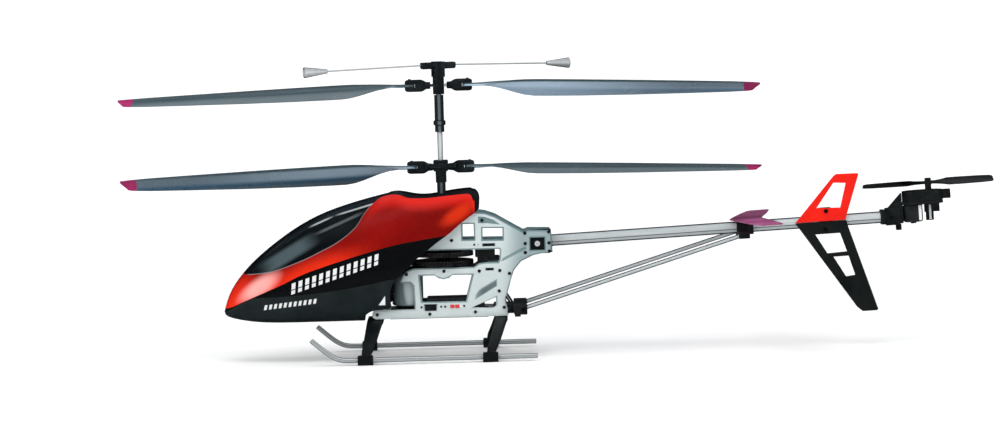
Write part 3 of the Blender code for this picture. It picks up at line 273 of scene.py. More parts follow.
# steel, tube, strut, skid, bright screw, motor can and sleeve carry painted glints, painted dark
# rims and painted reflection lines
STEEL = drawn_tube_painted_reflections(
    "mat_bright_steel", (0.44, 0.47, 0.49), (0.58, 0.61, 0.63), (0.030, 0.036, 0.040),
    rim=(0.35, 0.70), painted_glint=(0.82, 0.84, 0.86), painted_glint_reach=0.12, draw=(1500, 1500, 60))
TUBE = drawn_tube_painted_reflections(
    "mat_polished_tube", (0.66, 0.72, 0.735), (0.80, 0.85, 0.865), (0.030, 0.045, 0.050),
    rim=(0.28, 0.48), line=-0.24)
STRUT = drawn_tube_painted_reflections(
    "mat_strut_tube", (0.58, 0.63, 0.65), (0.72, 0.76, 0.78), (0.016, 0.026, 0.030),
    rim=(0.09, 0.30))
SKID = drawn_tube_painted_reflections(
    "mat_skid_tube", (0.60, 0.64, 0.66), (0.74, 0.78, 0.80), (0.045, 0.058, 0.062),
    rim=(0.20, 0.55), line=0.30)
SCREW = worked_metal(
    "mat_black_oxide_screw", (0.055, 0.058, 0.065), rough=0.30, streak=(900, 900, 900),
    tint=0.10, smudge=0.12, edge_gain=0.35)
SCREW_BRIGHT = drawn_tube_painted_reflections(
    "mat_zinc_screw", (0.66, 0.68, 0.70), (0.78, 0.80, 0.82), (0.08, 0.09, 0.10),
    rim=(0.5, 0.9), draw=(900, 900, 900))
BRASS = worked_metal("mat_brass", (0.78, 0.58, 0.27), rough=0.24, streak=(2500, 2500, 60))
MOTOR_CAN = drawn_tube_painted_reflections(
    "mat_motor_can", (0.20, 0.27, 0.285), (0.26, 0.335, 0.35), (0.020, 0.036, 0.040),
    rim=(0.25, 0.85), painted_glint=(0.62, 0.72, 0.74), draw=(900, 900, 40))
SLEEVE = drawn_tube_painted_reflections(
    "mat_black_sleeve", (0.006, 0.009, 0.010), (0.012, 0.016, 0.018), (0.002, 0.003, 0.003),
    rim=(0.3, 0.6), painted_glint=(0.085, 0.110, 0.120), painted_glint_reach=0.07, metal=0.0, rough=0.3,
    draw=(1200, 1200, 60))
TAIL_MOTOR = moulded_plastic(
    "mat_tail_motor_sleeve", (0.008, 0.010, 0.011), (0.018, 0.022, 0.024), rough=0.30,
    grain=1600.0, grain_strength=0.08)


def plate_material():
    """Blue-grey anodised sheet: rolled grain along X, darker cut edges, painted highlights along
    the bottom and in an upright strip aft, deeper blue high up and aft.
    """
    mat = Mat("mat_plate_anodised")
    grain = mat.noise(detail=5.0, rough=0.7, stretch=(70, 400, 2600))
    cloud = mat.noise(30.0, detail=4.0, rough=0.55)
    pit = mat.noise(1800.0, detail=2.0, rough=0.6)
    colour = mat.mix(mat.ramp(cloud, 0.35, 0.68), (0.235, 0.335, 0.350), (0.32, 0.43, 0.445))
    streak = mat.mul(mat.ramp(grain, 0.35, 0.7), 0.30)
    colour = mat.mix(streak, colour, (0.52, 0.65, 0.68))
    # faces turned away from Y are the cut edges
    facing = mat.split(mat.add("NewGeometry").outputs["True Normal"])[1]
    cut_edge = mat.ramp(mat.abs(facing), 0.55, 0.25)
    colour = mat.mix(mat.mul(cut_edge, 0.72), colour, (0.10, 0.14, 0.16))
    colour = mat.mix(mat.mul(mat.edge(radius=0.0005), 0.35), colour, (0.30, 0.37, 0.40))
    sheen = mat.plus(mat.ramp(cloud, low=0.33, high=0.43), mat.ramp(grain, 0.3, 0.8, high=0.08))
    normal = mat.bump(grain, strength=0.10, distance=0.00005)
    x, _, z = mat.split(mat.place)
    # painted highlight: paler along the bottom and in a narrow upright strip aft
    painted_sill_highlight = mat.ramp(z, 0.0145, 0.0055)
    web = mat.mul(mat.ramp(x, 0.0470, 0.0482), mat.ramp(x, 0.0535, 0.0520),
                  mat.ramp(z, 0.044, 0.040))
    colour = mat.mix(mat.mul(mat.max(painted_sill_highlight, web), 0.85), colour, (0.80, 0.88, 0.88))
    # deeper blue high up and far aft
    deep = mat.max(mat.ramp(z, 0.050, 0.074), mat.ramp(x, 0.050, 0.072))
    colour = mat.mix(mat.mul(deep, 0.62), colour, (0.150, 0.255, 0.275))
    normal = mat.bump(pit, strength=0.05, distance=0.00003, normal=normal)
    return mat.finish(colour=colour, rough=sheen, metal=0.30, normal=normal)


PLATE = plate_material()


def blade_material():
    """Gloss slate blade with painted light: painted highlight and shade on the upper faces, a
    painted pale blue reflection on the underside; magenta band across the tip.
    """
    mat = Mat("mat_blade")
    x, y, _ = mat.split(mat.place)
    up = mat.split(mat.coord.outputs["Normal"])[2]
    radius = mat.abs(x)
    chord = mat.mul(y, 1000.0)  # mm
    # the band is cut diagonally across the chord
    tip = mat.ramp(mat.plus(radius, mat.mul(mat.abs(y), -0.12)), 0.2728, 0.2736)
    flow = mat.noise(detail=4.0, rough=0.6, stretch=(7, 130, 130))
    cloud = mat.noise(24.0, detail=4.0, rough=0.6)
    speck = mat.noise(1500.0, detail=2.0, rough=0.6)
    waver = mat.mul(mat.minus(mat.noise(6.0, detail=2.0), 0.5), 5.0)
    wavy = mat.plus(chord, waver)
    slate = mat.mix(mat.ramp(flow), (0.046, 0.072, 0.085), (0.078, 0.112, 0.130))
    # upper faces: painted highlight paler towards -Y, painted shade near black towards +Y
    top = mat.mix(mat.mul(mat.ramp(wavy, -8.0, -17.0), 0.6), slate, (0.165, 0.205, 0.225))
    top = mat.mix(mat.mul(mat.ramp(chord, 6.0, 9.5), 0.9), top, (0.006, 0.011, 0.013))
    # undersides: painted pale blue reflection, strongest near the hub, with a painted deep blue
    # reflection towards +Y
    sheen = mat.mul(mat.ramp(wavy, -8.5, -4.0), mat.ramp(wavy, 13.0, 5.0))
    inboard = mat.ramp(radius, 0.235, 0.075, low=0.25, high=1.0)
    aft = mat.max(mat.ramp(x, 0.0, 0.02), 0.55)
    below = mat.mix(mat.ramp(wavy, 4.0, 10.0), (0.050, 0.082, 0.098), (0.030, 0.080, 0.130))
    below = mat.mix(mat.ramp(wavy, 13.0, 18.0), below, (0.070, 0.100, 0.125))
    below = mat.mix(mat.mul(sheen, inboard, aft), below, (0.46, 0.60, 0.74))
    # painted pale reflection on the underside of the aft blade
    aft_sheen = mat.mul(mat.ramp(x, 0.02, 0.06), mat.ramp(wavy, 4.0, 8.0),
                        mat.mul(inboard, 0.8))
    below = mat.mix(aft_sheen, below, (0.36, 0.49, 0.62))
    # upward faces take the painted top colours, downward faces the painted underside reflection
    body = mat.mix(mat.ramp(up, 0.04, -0.04), top, below)
    pink = mat.mix(mat.ramp(cloud), (0.26, 0.012, 0.085), (0.40, 0.022, 0.135))
    colour = mat.mix(tip, body, pink)
    wear = mat.noise(180.0, detail=4.0, rough=0.7)
    rubbed = mat.mul(mat.edge(radius=0.0006), mat.ramp(wear, 0.45, 0.65))
    colour = mat.mix(mat.mul(rubbed, 0.10), colour, (0.30, 0.34, 0.36))
    rough = mat.plus(mat.ramp(cloud, low=0.20, high=0.28), mat.ramp(speck, 0.5, 0.8, high=0.05))
    return mat.finish(colour=colour, rough=rough, metal=0.0,
                      normal=mat.bump(flow, strength=0.04, distance=0.00008),
                      coat=0.4, coat_rough=0.12)


BLADE = blade_material()
FIN_RED = gloss_plastic(
    "mat_fin_red", (0.68, 0.005, 0.0005), (0.79, 0.009, 0.001), rough=0.42, coat=0.0, spec=0.18)
FIN_BLACK = gloss_plastic(
    "mat_fin_black", (0.0035, 0.0055, 0.0055), (0.008, 0.011, 0.011), rough=0.42, coat=0.0)
PINK = gloss_plastic(
    "mat_stabilizer", (0.25, 0.045, 0.135), (0.41, 0.110, 0.26), rough=0.36, coat=0.2)
BATTERY_WRAP = gloss_plastic(
    "mat_battery_wrap", (0.010, 0.011, 0.014), (0.022, 0.024, 0.030), rough=0.22, coat=0.5)
RED_PLUG = gloss_plastic(
    "mat_red_connector", (0.55, 0.015, 0.02), (0.72, 0.03, 0.035), rough=0.35, coat=0.2)
WIRE_RED = gloss_plastic(
    "mat_wire_red", (0.50, 0.01, 0.01), (0.65, 0.03, 0.02), rough=0.38, coat=0.1)
WIRE_BLACK = gloss_plastic(
    "mat_wire_black", (0.01, 0.01, 0.01), (0.025, 0.025, 0.025), rough=0.42, coat=0.1)


def board_material():
    """Green board scattered with metal pads."""
    mat = Mat("mat_circuit_board")
    cells = mat.add("TexVoronoi", {"Scale": 420.0, "Vector": mat.place})
    pads = mat.ramp(cells.outputs["Distance"], 0.32, 0.22)
    cloud = mat.noise(120.0, rough=0.6)
    colour = mat.mix(mat.ramp(cloud), (0.008, 0.085, 0.03), (0.015, 0.15, 0.05))
    colour = mat.mix(mat.mul(pads, 0.75), colour, (0.75, 0.70, 0.52))
    return mat.finish(colour=colour, rough=mat.ramp(pads, 0.0, 1.0, low=0.42, high=0.25),
                      metal=mat.mul(pads, 0.9),
                      normal=mat.bump(pads, strength=0.3, distance=0.0001))


BOARD = board_material()

# ------------------------------------------------------------------ canopy paint
# paint boundaries in side view, (x, z) in mm: lower and upper edge of the red, top of the chin
RED_BOTTOM = [
    (-200, 10.5), (-196.8, 12.2), (-191.4, 13.4), (-180.0, 18.0), (-164.1, 24.4), (-153.2, 28.8),
    (-142.2, 33.4), (-131.3, 38.6), (-120.4, 43.0), (-109.5, 46.6), (-98.6, 50.0), (-87.7, 53.2),
    (-76.8, 56.4), (-65.9, 59.4), (-55.0, 62.2), (-44.1, 64.8), (-33.3, 66.9), (-22.4, 68.6),
    (-11.6, 70.3), (-0.7, 71.8), (12, 73.6), (40, 78)]
RED_TOP = [
    (-200, 60), (-184, 51), (-180.0, 44.6), (-176, 42.4), (-163.6, 43.0), (-151.9, 44.6),
    (-141.9, 47.6), (-131.0, 51.4), (-120.1, 55.8), (-109.1, 61.0), (-98.1, 66.4), (-87.1, 73.4),
    (-81.6, 77.8), (-76.1, 83.4), (-70.4, 92.2), (-64.8, 99.6), (-59.2, 105.0), (-53.7, 108.8),
    (-48.0, 110.4), (-42.8, 110.8), (-37.5, 110.0), (-31.0, 107.6), (-26.8, 106.9), (-15, 106.6),
    (0, 107.8), (12, 108.8), (23.0, 109.4), (26.5, 108.0), (28.8, 103.0), (40, 103)]
CHIN_TOP = [
    (-200, 8), (-186, 14.5), (-174, 20.6), (-150, 21.6), (-120, 23.4), (-94.7, 26.2), (-70, 30.0),
    (-46.8, 34.4), (40, 50)]
# the curve nodes work from 0 to 1 over this much x and z, mm
CURVE_START, CURVE_LENGTH, CURVE_HEIGHT = -200.0, 240.0, 120.0


class CanopyPaint(Mat):
    """Side-view painting tools; x and z are in mm."""

    def __init__(self, name):
        super().__init__(name)
        x, y, z = self.split(self.place)
        self.x = self.mul(x, 1000.0)
        y = self.abs(self.mul(y, 1000.0))
        # boundaries climb slightly away from the centre line
        self.z = self.minus(self.mul(z, 1000.0), self.mul(y, 0.076))
        self.share = self.math("DIVIDE", self.plus(self.x, -CURVE_START), CURVE_LENGTH,
                               clamp=True)

    def above(self, table):
        """Height above a boundary given as (x, z) points."""
        node = self.add("FloatCurve", {"Value": self.share})
        mapping = node.mapping
        mapping.use_clip = False
        points = mapping.curves[0].points
        spots = [((x - CURVE_START) / CURVE_LENGTH, z / CURVE_HEIGHT) for x, z in table]
        points[0].location = spots[0]
        points[-1].location = spots[-1]
        for spot in spots[1:-1]:
            points.new(*spot)
        for point in points:
            point.handle_type = "AUTO_CLAMPED"
        mapping.update()
        return self.minus(self.z, self.mul(node.outputs[0], CURVE_HEIGHT))

    def blob(self, x, z, length, height, lean):
        """Soft ellipse leaning by the given degrees."""
        cos, sin = math.cos(math.radians(lean)), math.sin(math.radians(lean))
        dx, dz = self.minus(self.x, x), self.minus(self.z, z)
        along = self.plus(self.mul(dx, cos), self.mul(dz, sin))
        along = self.math("DIVIDE", along, length)
        across = self.minus(self.mul(dz, cos), self.mul(dx, sin))
        across = self.math("DIVIDE", across, height)
        square = self.plus(self.mul(along, along), self.mul(across, across))
        return self.ramp(self.math("SQRT", square), 1.0, 0.25)

    def line_frame(self, start, end):
        """Distance along a line, signed distance across it, and its length."""
        (x0, z0), (x1, z1) = start, end
        length = math.hypot(x1 - x0, z1 - z0)
        cos, sin = (x1 - x0) / length, (z1 - z0) / length
        along = self.plus(self.mul(self.minus(self.x, x0), cos),
                          self.mul(self.minus(self.z, z0), sin))
        across = self.minus(self.mul(self.minus(self.z, z0), cos),
                            self.mul(self.minus(self.x, x0), sin))
        return along, across, length

    def strip(self, start, end, half, soft, taper):
        """Straight stroke of a half width with soft sides and tapered ends."""
        along, across, length = self.line_frame(start, end)
        ends = self.mul(self.ramp(along, 0.0, taper), self.ramp(along, length, length - taper))
        return self.mul(ends, self.ramp(self.abs(across), half + soft, half - soft))

    def bars(self, start, end, half, pitch, slant, gap_at=None, fill=0.58):
        """Row of slanted bars; gap_at is where a lengthwise gap splits them."""
        along, across, length = self.line_frame(start, end)
        along = self.minus(along, self.mul(across, slant))
        phase = self.math("FRACT", self.math("DIVIDE", along, pitch))
        ends = self.mul(self.ramp(along, 0.0, 0.1), self.ramp(along, length, length - 0.1))
        row = self.mul(self.ramp(phase, 0.02, 0.06), self.ramp(phase, fill + 0.04, fill), ends,
                       self.ramp(self.abs(across), half + 0.12, half - 0.12))
        if gap_at is not None:
            gap = self.ramp(self.abs(self.minus(across, gap_at)), 0.30, 0.55)
            row = self.mul(row, gap)
        return row


def canopy_red(mat, above_bottom, above_top):
    """Deep red with painted orange highlights low on the flank, under the glazing, aft and at the
    nose, and a painted pale highlight by the nose.
    """
    flake = mat.noise(2600.0, detail=2.0, rough=0.6)
    cloud = mat.noise(16.0)
    # painted highlight strength, strongest at the lower edge of the red
    painted_low_highlight = mat.ramp(above_bottom, 0.0, 16.0, low=1.0, high=0.0)
    red = mat.mix(mat.ramp(cloud), (0.160, 0.0006, 0.0004), (0.230, 0.0010, 0.0006))
    # painted highlight just under the glazing
    painted_brow_highlight = mat.mul(mat.ramp(above_top, -15.0, -2.0), mat.ramp(mat.x, -72.0, -50.0))
    red = mat.mix(mat.mul(painted_brow_highlight, 0.8), red, (0.66, 0.012, 0.006))
    # painted orange highlight aft, high on the flank
    painted_rear_highlight = mat.blob(14.0, 91.5, length=24.0, height=9.0, lean=32.0)
    red = mat.mix(mat.mul(painted_rear_highlight, 0.62), red, (0.76, 0.034, 0.004))
    # painted orange highlight low on the forward flank
    flank = mat.mul(painted_low_highlight, mat.ramp(mat.x, -50.0, -110.0), 0.85)
    red = mat.mix(flank, red, (0.74, 0.022, 0.003))
    red = mat.mix(mat.mul(mat.ramp(flake, 0.55, 0.75), 0.10), red, (0.95, 0.25, 0.12))
    # painted orange highlight at the nose
    nose = mat.blob(-186.0, 24.0, length=30.0, height=18.0, lean=50.0)
    red = mat.mix(mat.mul(nose, 0.7), red, (0.74, 0.022, 0.004))
    # painted pale pink highlight by the nose
    highlight = mat.blob(-165.0, 30.5, length=29.0, height=11.0, lean=33.0)
    return mat.mix(mat.mul(highlight, 0.9), red, (0.90, 0.36, 0.33))


def canopy_glass(mat):
    """Near-black glazing with a painted grey-teal reflection panel and soft painted highlight
    streaks.
    """
    tone = mat.ramp(mat.noise(9.0, detail=2.0), 0.4, 0.6)
    glass = mat.mix(tone, (0.002, 0.003, 0.004), (0.007, 0.010, 0.012))
    # painted reflection: a soft grey-teal panel across the glazing
    panel = mat.strip((-168.0, 42.7), (-108.0, 76.8), half=5.6, soft=2.4, taper=24.0)
    glass = mat.mix(mat.mul(panel, 0.9), glass, (0.060, 0.088, 0.098))
    # painted highlight streaks, brighter above and dimmer below
    upper = mat.max(
        mat.strip((-121.0, 82.6), (-95.0, 93.6), half=0.75, soft=0.35, taper=10.0),
        mat.strip((-98.0, 92.6), (-46.0, 107.0), half=0.75, soft=0.35, taper=12.0))
    lower = mat.strip((-118.0, 75.0), (-66.0, 97.0), half=1.25, soft=0.6, taper=16.0)
    glass = mat.mix(mat.mul(upper, 0.9), glass, (0.36, 0.39, 0.40))
    return mat.mix(mat.mul(lower, 0.8), glass, (0.085, 0.10, 0.105))


def canopy_flashes(mat):
    """Slanted bars in the black band and on the chin, and a small triangle aft."""
    flash = mat.max(
        mat.bars((-136.0, 28.4), (-55.0, 54.0), half=4.6, pitch=84.95 / 13, slant=0.42,
                 gap_at=-1.0),
        mat.bars((-161.0, 12.4), (-112.1, 17.4), half=2.1, pitch=49.15 / 11, slant=0.36))
    slope = mat.minus(mat.z, mat.mul(mat.plus(mat.x, 58.3), 1.38))
    triangle = mat.mul(mat.ramp(mat.x, -52.3, -52.7), mat.ramp(mat.z, 11.7, 12.1),
                       mat.ramp(slope, 12.4, 12.0))
    return mat.max(mat.mul(flash, 0.85), triangle)


def canopy_material():
    """Gloss red body, black glazing above, black band and satin charcoal chin below."""
    mat = CanopyPaint("mat_canopy_paint")
    above_bottom, above_top, above_chin = (
        mat.above(table) for table in (RED_BOTTOM, RED_TOP, CHIN_TOP))
    painted = mat.ramp(above_bottom, -0.15, 0.15)
    rear = mat.mul(mat.ramp(mat.x, 29.2, 29.6), mat.ramp(mat.z, 90.0, 90.6))
    glazed = mat.max(mat.ramp(above_top, -0.15, 0.15), rear)
    chin = mat.ramp(above_chin, 0.4, -0.4)
    # silver pinstripe along the forward glazing edge
    stripe = mat.ramp(mat.abs(mat.minus(above_top, 0.2)), 0.55, 0.30)
    stripe = mat.mul(stripe, mat.ramp(mat.x, -62.0, -66.0), mat.ramp(mat.x, -178.0, -174.0))

    red = canopy_red(mat, above_bottom, above_top)
    glass = canopy_glass(mat)
    charcoal = mat.mix(mat.ramp(mat.noise(60.0, detail=4.0, rough=0.6)),
                       (0.007, 0.0125, 0.0135), (0.012, 0.0195, 0.021))
    black_band = (0.0030, 0.0033, 0.0038)
    colour = mat.mix(painted, mat.mix(chin, black_band, charcoal), red)
    colour = mat.mix(glazed, colour, glass)
    colour = mat.mix(mat.mul(stripe, 0.55), colour, (0.24, 0.25, 0.26))
    colour = mat.mix(canopy_flashes(mat), colour, (0.78, 0.80, 0.80))

    wavy = mat.noise(22.0, detail=2.0, rough=0.4)
    peel = mat.noise(520.0, detail=2.0)
    dust = mat.noise(240.0, detail=5.0, rough=0.7)
    # everything but the chin is lacquered
    gloss = mat.minus(1.0, mat.mul(chin, mat.minus(1.0, painted)))
    rough = mat.mix_value(gloss, mat.ramp(dust, low=0.40, high=0.52),
                          mat.ramp(dust, 0.4, 0.8, low=0.14, high=0.24))
    normal = mat.bump(wavy, strength=0.05, distance=0.0016)
    normal = mat.bump(peel, strength=0.035, distance=0.00008, normal=normal)
    return mat.finish(colour=colour, rough=rough, metal=0.0, normal=normal,
                      coat=mat.mul(gloss, mat.mix_value(glazed, 0.7, 0.42)), coat_rough=0.04,
                      spec=mat.mix_value(glazed, 0.30, 0.15))


CANOPY_PAINT = canopy_material()
POCKET_SHADE = moulded_plastic(
    "mat_pocket_shadow", (0.10, 0.135, 0.145), (0.17, 0.21, 0.22), rough=0.5,
    grain=1500.0, grain_strength=0.2, wear=0.1)
CANOPY_INSIDE = moulded_plastic(
    "mat_canopy_inner", (0.006, 0.006, 0.007), (0.014, 0.014, 0.015), rough=0.5,
    grain=1400.0, grain_strength=0.2, wear=0.1)


# ------------------------------------------------------------------ edge finishing
def smooth_group():
    """Geometry nodes: smooth faces, with edges steeper than SMOOTH_ANGLE kept sharp."""
    group = bpy.data.node_groups.new("edge_shading", "GeometryNodeTree")
    for way in ("INPUT", "OUTPUT"):
        group.interface.new_socket("Geometry", in_out=way, socket_type="NodeSocketGeometry")
    start, end = (group.nodes.new("NodeGroup" + way) for way in ("Input", "Output"))
    angle = group.nodes.new("GeometryNodeInputMeshEdgeAngle")
    shallow = group.nodes.new("FunctionNodeCompare")
    shallow.data_type = "FLOAT"
    shallow.operation = "LESS_THAN"
    shallow.inputs[1].default_value = SMOOTH_ANGLE
    faces = group.nodes.new("GeometryNodeSetShadeSmooth")
    faces.domain = "FACE"
    edges = group.nodes.new("GeometryNodeSetShadeSmooth")
    edges.domain = "EDGE"
    for source, target in (
            (start.outputs[0], faces.inputs["Geometry"]),
            (faces.outputs[0], edges.inputs["Geometry"]),
            (angle.outputs["Unsigned Angle"], shallow.inputs[0]),
            (shallow.outputs[0], edges.inputs["Shade Smooth"]),
            (edges.outputs[0], end.inputs[0])):
        group.links.new(source, target)
    return group


SMOOTH = smooth_group()


def round_edges(piece, width, segments=2):
    bevel = piece.modifiers.new("round_edges", "BEVEL")
    bevel.width = width * MM
    bevel.segments = segments
    bevel.limit_method = "ANGLE"
    bevel.angle_limit = BEVEL_ANGLE


def shade_edges(piece):
    piece.modifiers.new("shading", "NODES").node_group = SMOOTH


# ------------------------------------------------------------------ piece builders
def link(piece):
    bpy.context.scene.collection.objects.link(piece)
    return piece


def to_mesh(name, bm):
    mesh = bpy.data.meshes.new(name)
    bm.to_mesh(mesh)
    bm.free()
    return mesh


def add_piece(name, bm, material, slot, matrix=WORLD_FRAME, bevel=0.0, body="airframe"):
    bmesh.ops.recalc_face_normals(bm, faces=bm.faces)
    mesh = to_mesh(name, bm)
    mesh.shade_smooth()
    mesh.set_sharp_from_angle(angle=SMOOTH_ANGLE)
    mesh.materials.append(material)
    piece = link(bpy.data.objects.new(name, mesh))
    piece.matrix_world = matrix
    if bevel:
        round_edges(piece, bevel)
        shade_edges(piece)
    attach(piece, body)
    return piece


def axis_matrix(place, axis, base=WORLD_FRAME):
    turn = Vector(axis).to_track_quat("Z", "Y").to_matrix().to_4x4()
    return base @ Matrix.Translation(Vector(place) * MM) @ turn


def bridge(bm, ring, next_ring):
    """Quads between two closed rings of equal count."""
    count = len(ring)
    for i in range(count):
        j = (i + 1) % count
        bm.faces.new((ring[i], ring[j], next_ring[j], next_ring[i]))


def circle(bm, radius, z, count):
    return [bm.verts.new((radius * MM * math.cos(math.tau * i / count),
                          radius * MM * math.sin(math.tau * i / count), z * MM))
            for i in range(count)]


def lathe(name, profile, place, axis, material, slot, seg, body="airframe"):
    """Revolves (radius, z) points, from axis to axis or as a closed loop that misses it."""
    bm = bmesh.new()
    rings = [circle(bm, radius, z, seg) if radius else [bm.verts.new((0, 0, z * MM))]
             for radius, z in profile]
    pairs = list(zip(rings, rings[1:]))
    if len(rings[0]) > 1 and len(rings[-1]) > 1:
        pairs.append((rings[-1], rings[0]))
    for a, b in pairs:
        if len(a) > 1 and len(b) > 1:
            bridge(bm, a, b)
            continue
        for i in range(seg):
            j = (i + 1) % seg
            bm.faces.new((a[0], b[i], b[j]) if len(a) == 1 else (a[i], a[j], b[0]))
    return add_piece(name, bm, material, slot, axis_matrix(place, axis), body=body)


def socket_screw(name, place, axis, radius, height, material=SCREW, base=WORLD_FRAME):
    """Cap screw head with a chamfered rim and a hexagonal socket."""
    bm = bmesh.new()
    seg = 24
    socket = radius * 0.46

    def hexagon(reach, z):
        ring = []
        for i in range(seg):
            angle = math.tau * i / seg
            off_flat = (angle % (math.pi / 3)) - math.pi / 6
            r = reach * math.cos(math.pi / 6) / math.cos(off_flat)
            ring.append(bm.verts.new((r * MM * math.cos(angle), r * MM * math.sin(angle), z * MM)))
        return ring

    rings = [circle(bm, radius * share, height * rise, seg)
             for share, rise in ((1.0, 0.0), (1.0, 0.72), (0.93, 0.93), (0.84, 1.0))]
    rings += [hexagon(socket, height), hexagon(socket * 0.96, height * 0.35)]
    for a, b in zip(rings, rings[1:]):
        bridge(bm, a, b)
    bm.faces.new(rings[-1])
    bm.faces.new(list(reversed(rings[0])))
    return add_piece(name, bm, material, "bright_steel", axis_matrix(place, axis, base))


def block(name, x, y, z, material, bevel, slot="black_plastic", base=WORLD_FRAME):
    """Rounded box between the given (low, high) pairs."""
    bm = bmesh.new()
    bmesh.ops.create_cube(bm, size=1.0)
    for vert in bm.verts:
        vert.co = Vector([(low + high) / 2 + at * (high - low)
                          for at, (low, high) in zip(vert.co, (x, y, z))]) * MM
    return add_piece(name, bm, material, slot, base, bevel=bevel)


def catmull_rom(p0, p1, p2, p3, t):
    return 0.5 * ((2 * p1) + (p2 - p0) * t + (2 * p0 - 5 * p1 + 4 * p2 - p3) * t * t
                  + (3 * p1 - p0 - 3 * p2 + p3) * t ** 3)


# domed end: (overshoot, radius share), the overshoot in units of radius * cap_round
DOME = [(0.12, 0.94), (0.35, 0.75)]


def tube_path(name, points, radius, material, slot="black_plastic", seg=10, steps=6,
              cap_round=0.0):
    """Round bar swept along a Catmull-Rom path, flat or domed at the ends."""
    knots = [Vector(p) for p in points]
    last = len(knots) - 1
    path = [catmull_rom(knots[max(i - 1, 0)], knots[i], knots[i + 1],
                        knots[min(i + 2, last)], k / steps)
            for i in range(last) for k in range(steps)]
    path.append(knots[-1])
    bm = bmesh.new()
    rings = []
    side = (path[1] - path[0]).normalized().cross(Vector((0, 0, 1))).normalized()
    for i, centre in enumerate(path):
        ahead = (path[min(i + 1, len(path) - 1)] - path[max(i - 1, 0)]).normalized()
        side = (side - ahead * side.dot(ahead)).normalized()
        over = ahead.cross(side)
        stations = [(0.0, 1.0)]
        if cap_round and i == 0:
            stations = [(-shift, share) for shift, share in reversed(DOME)] + stations
        if cap_round and i == len(path) - 1:
            stations = stations + DOME
        for shift, share in stations:
            middle = centre + ahead * (shift * radius * cap_round)
            rings.append([
                bm.verts.new((middle + (side * math.cos(a) + over * math.sin(a))
                              * radius * share) * MM)
                for a in [math.tau * k / seg for k in range(seg)]])
    for a, b in zip(rings, rings[1:]):
        bridge(bm, a, b)
    bm.faces.new(list(reversed(rings[0])))
    bm.faces.new(rings[-1])
    return add_piece(name, bm, material, slot)


# ------------------------------------------------------------------ dressing the CAD pieces
def dress(name, material, bevel, segments=2, planar=True):
    piece = NODES[name]
    piece.data.materials.clear()
    piece.data.materials.append(material)
    piece.modifiers.new("weld", "WELD").merge_threshold = 0.00001
    if planar:
        dissolve = piece.modifiers.new("planar", "DECIMATE")
        dissolve.decimate_type = "DISSOLVE"
        dissolve.angle_limit = math.radians(0.6)
    if bevel:
        round_edges(piece, bevel, segments)
    shade_edges(piece)


# pieces with flat faces: material, bevel in mm, bevel segments, names
FLAT_PIECES = [
    (BLACK_SATIN, 0.3, 2, "battery_tray lower_bearing_block upper_bearing_block strut_anchor "
                          "brace_clamp equipment_shelf power_switch_body power_switch_slider"),
    (BLACK, 0.35, 2, "boom_clamp"),
    (BLACK, 0.4, 2, "tail_gearbox_case tail_gearbox_cover"),
    (BLACK, 0.55, 3, "leg_arch_front leg_arch_rear"),
    (BLACK, 0.7, 3, " ".join(n for n in NODES if n.startswith("foot_clamp"))),
    (BATTERY_WRAP, 0.4, 2, "battery_pack"),
    (BOARD, 0.12, 2, "receiver_board"),
    (PINK, 0.25, 2, "horizontal_stabilizer"),
    (FIN_RED, 0.35, 2, "tail_fin_upper"),
    (FIN_BLACK, 0.35, 2, "tail_fin_lower"),
    (GEAR, 0.08, 2, "outer_main_gear inner_main_gear tail_rotor_gear"),
    (BRASS, 0.06, 2, "lower_motor_pinion upper_motor_pinion tail_motor_pinion"),
    (HUB, 0.22, 2, "lower_hub upper_hub lower_yoke upper_grip_fore upper_grip_aft "
                   "flybar_holder flybar_link_fore flybar_link_aft"),
    (PLATE, 0.22, 2, "side_plate_port side_plate_starboard"),
]
# turned or curved pieces: material, bevel in mm, names
CURVED_PIECES = [
    (MOTOR_CAN, 0.0, "lower_motor upper_motor"),
    (TAIL_MOTOR, 0.0, "tail_motor"),
    (TUBE, 0.0, "tail_boom"),
    (STRUT, 0.0, "boom_strut_port boom_strut_starboard"),
    (SLEEVE, 0.0, "outer_shaft mast_sleeve"),
    (STEEL, 0.0, "inner_shaft upper_spindle flybar_rod"),
    (STEEL, 0.08, "flybar_weight_fore flybar_weight_aft"),
    (BLADE, 0.0, "lower_blade_fore lower_blade_aft upper_blade_fore upper_blade_aft"),
    (BLACK, 0.0, "tail_rotor"),
]
for material, bevel, segments, names in FLAT_PIECES:
    for name in names.split():
        dress(name, material, bevel, segments)
for material, bevel, names in CURVED_PIECES:
    for name in names.split():
        dress(name, material, bevel, planar=False)

# ------------------------------------------------------------------ canopy shell
# tables along the canopy, (x, value) in mm: top z, bottom z, half width, z of the widest
# point, and half width of the slot open along the top
TOP = [
    (-198.4, 9.6), (-197.2, 14.0), (-195.0, 21.0), (-191.0, 30.0), (-184.0, 40.0), (-171.0, 54.4),
    (-148.0, 73.0), (-126.0, 87.6), (-104.0, 98.0), (-82.0, 104.8), (-60.0, 110.5),
    (-39.0, 114.2), (-30.0, 112.0), (-17.0, 109.6), (-4.0, 110.8), (11.0, 113.4), (26.0, 114.8),
    (36.0, 114.6)]
BOTTOM = [
    (-198.4, 9.4), (-197.2, 6.6), (-195.0, 5.0), (-188.0, 2.8), (-176.0, 0.2), (-150.0, -2.0),
    (-66.0, -2.2), (36.0, -2.2)]
WIDTH = [
    (-198.4, 0.2), (-197.2, 4.0), (-195.0, 8.0), (-190.0, 13.0), (-182.0, 18.0), (-168.0, 24.0),
    (-148.0, 29.6), (-120.0, 34.0), (-88.0, 36.4), (-50.0, 36.4), (-10.0, 33.6), (20.0, 30.4),
    (36.0, 28.8)]
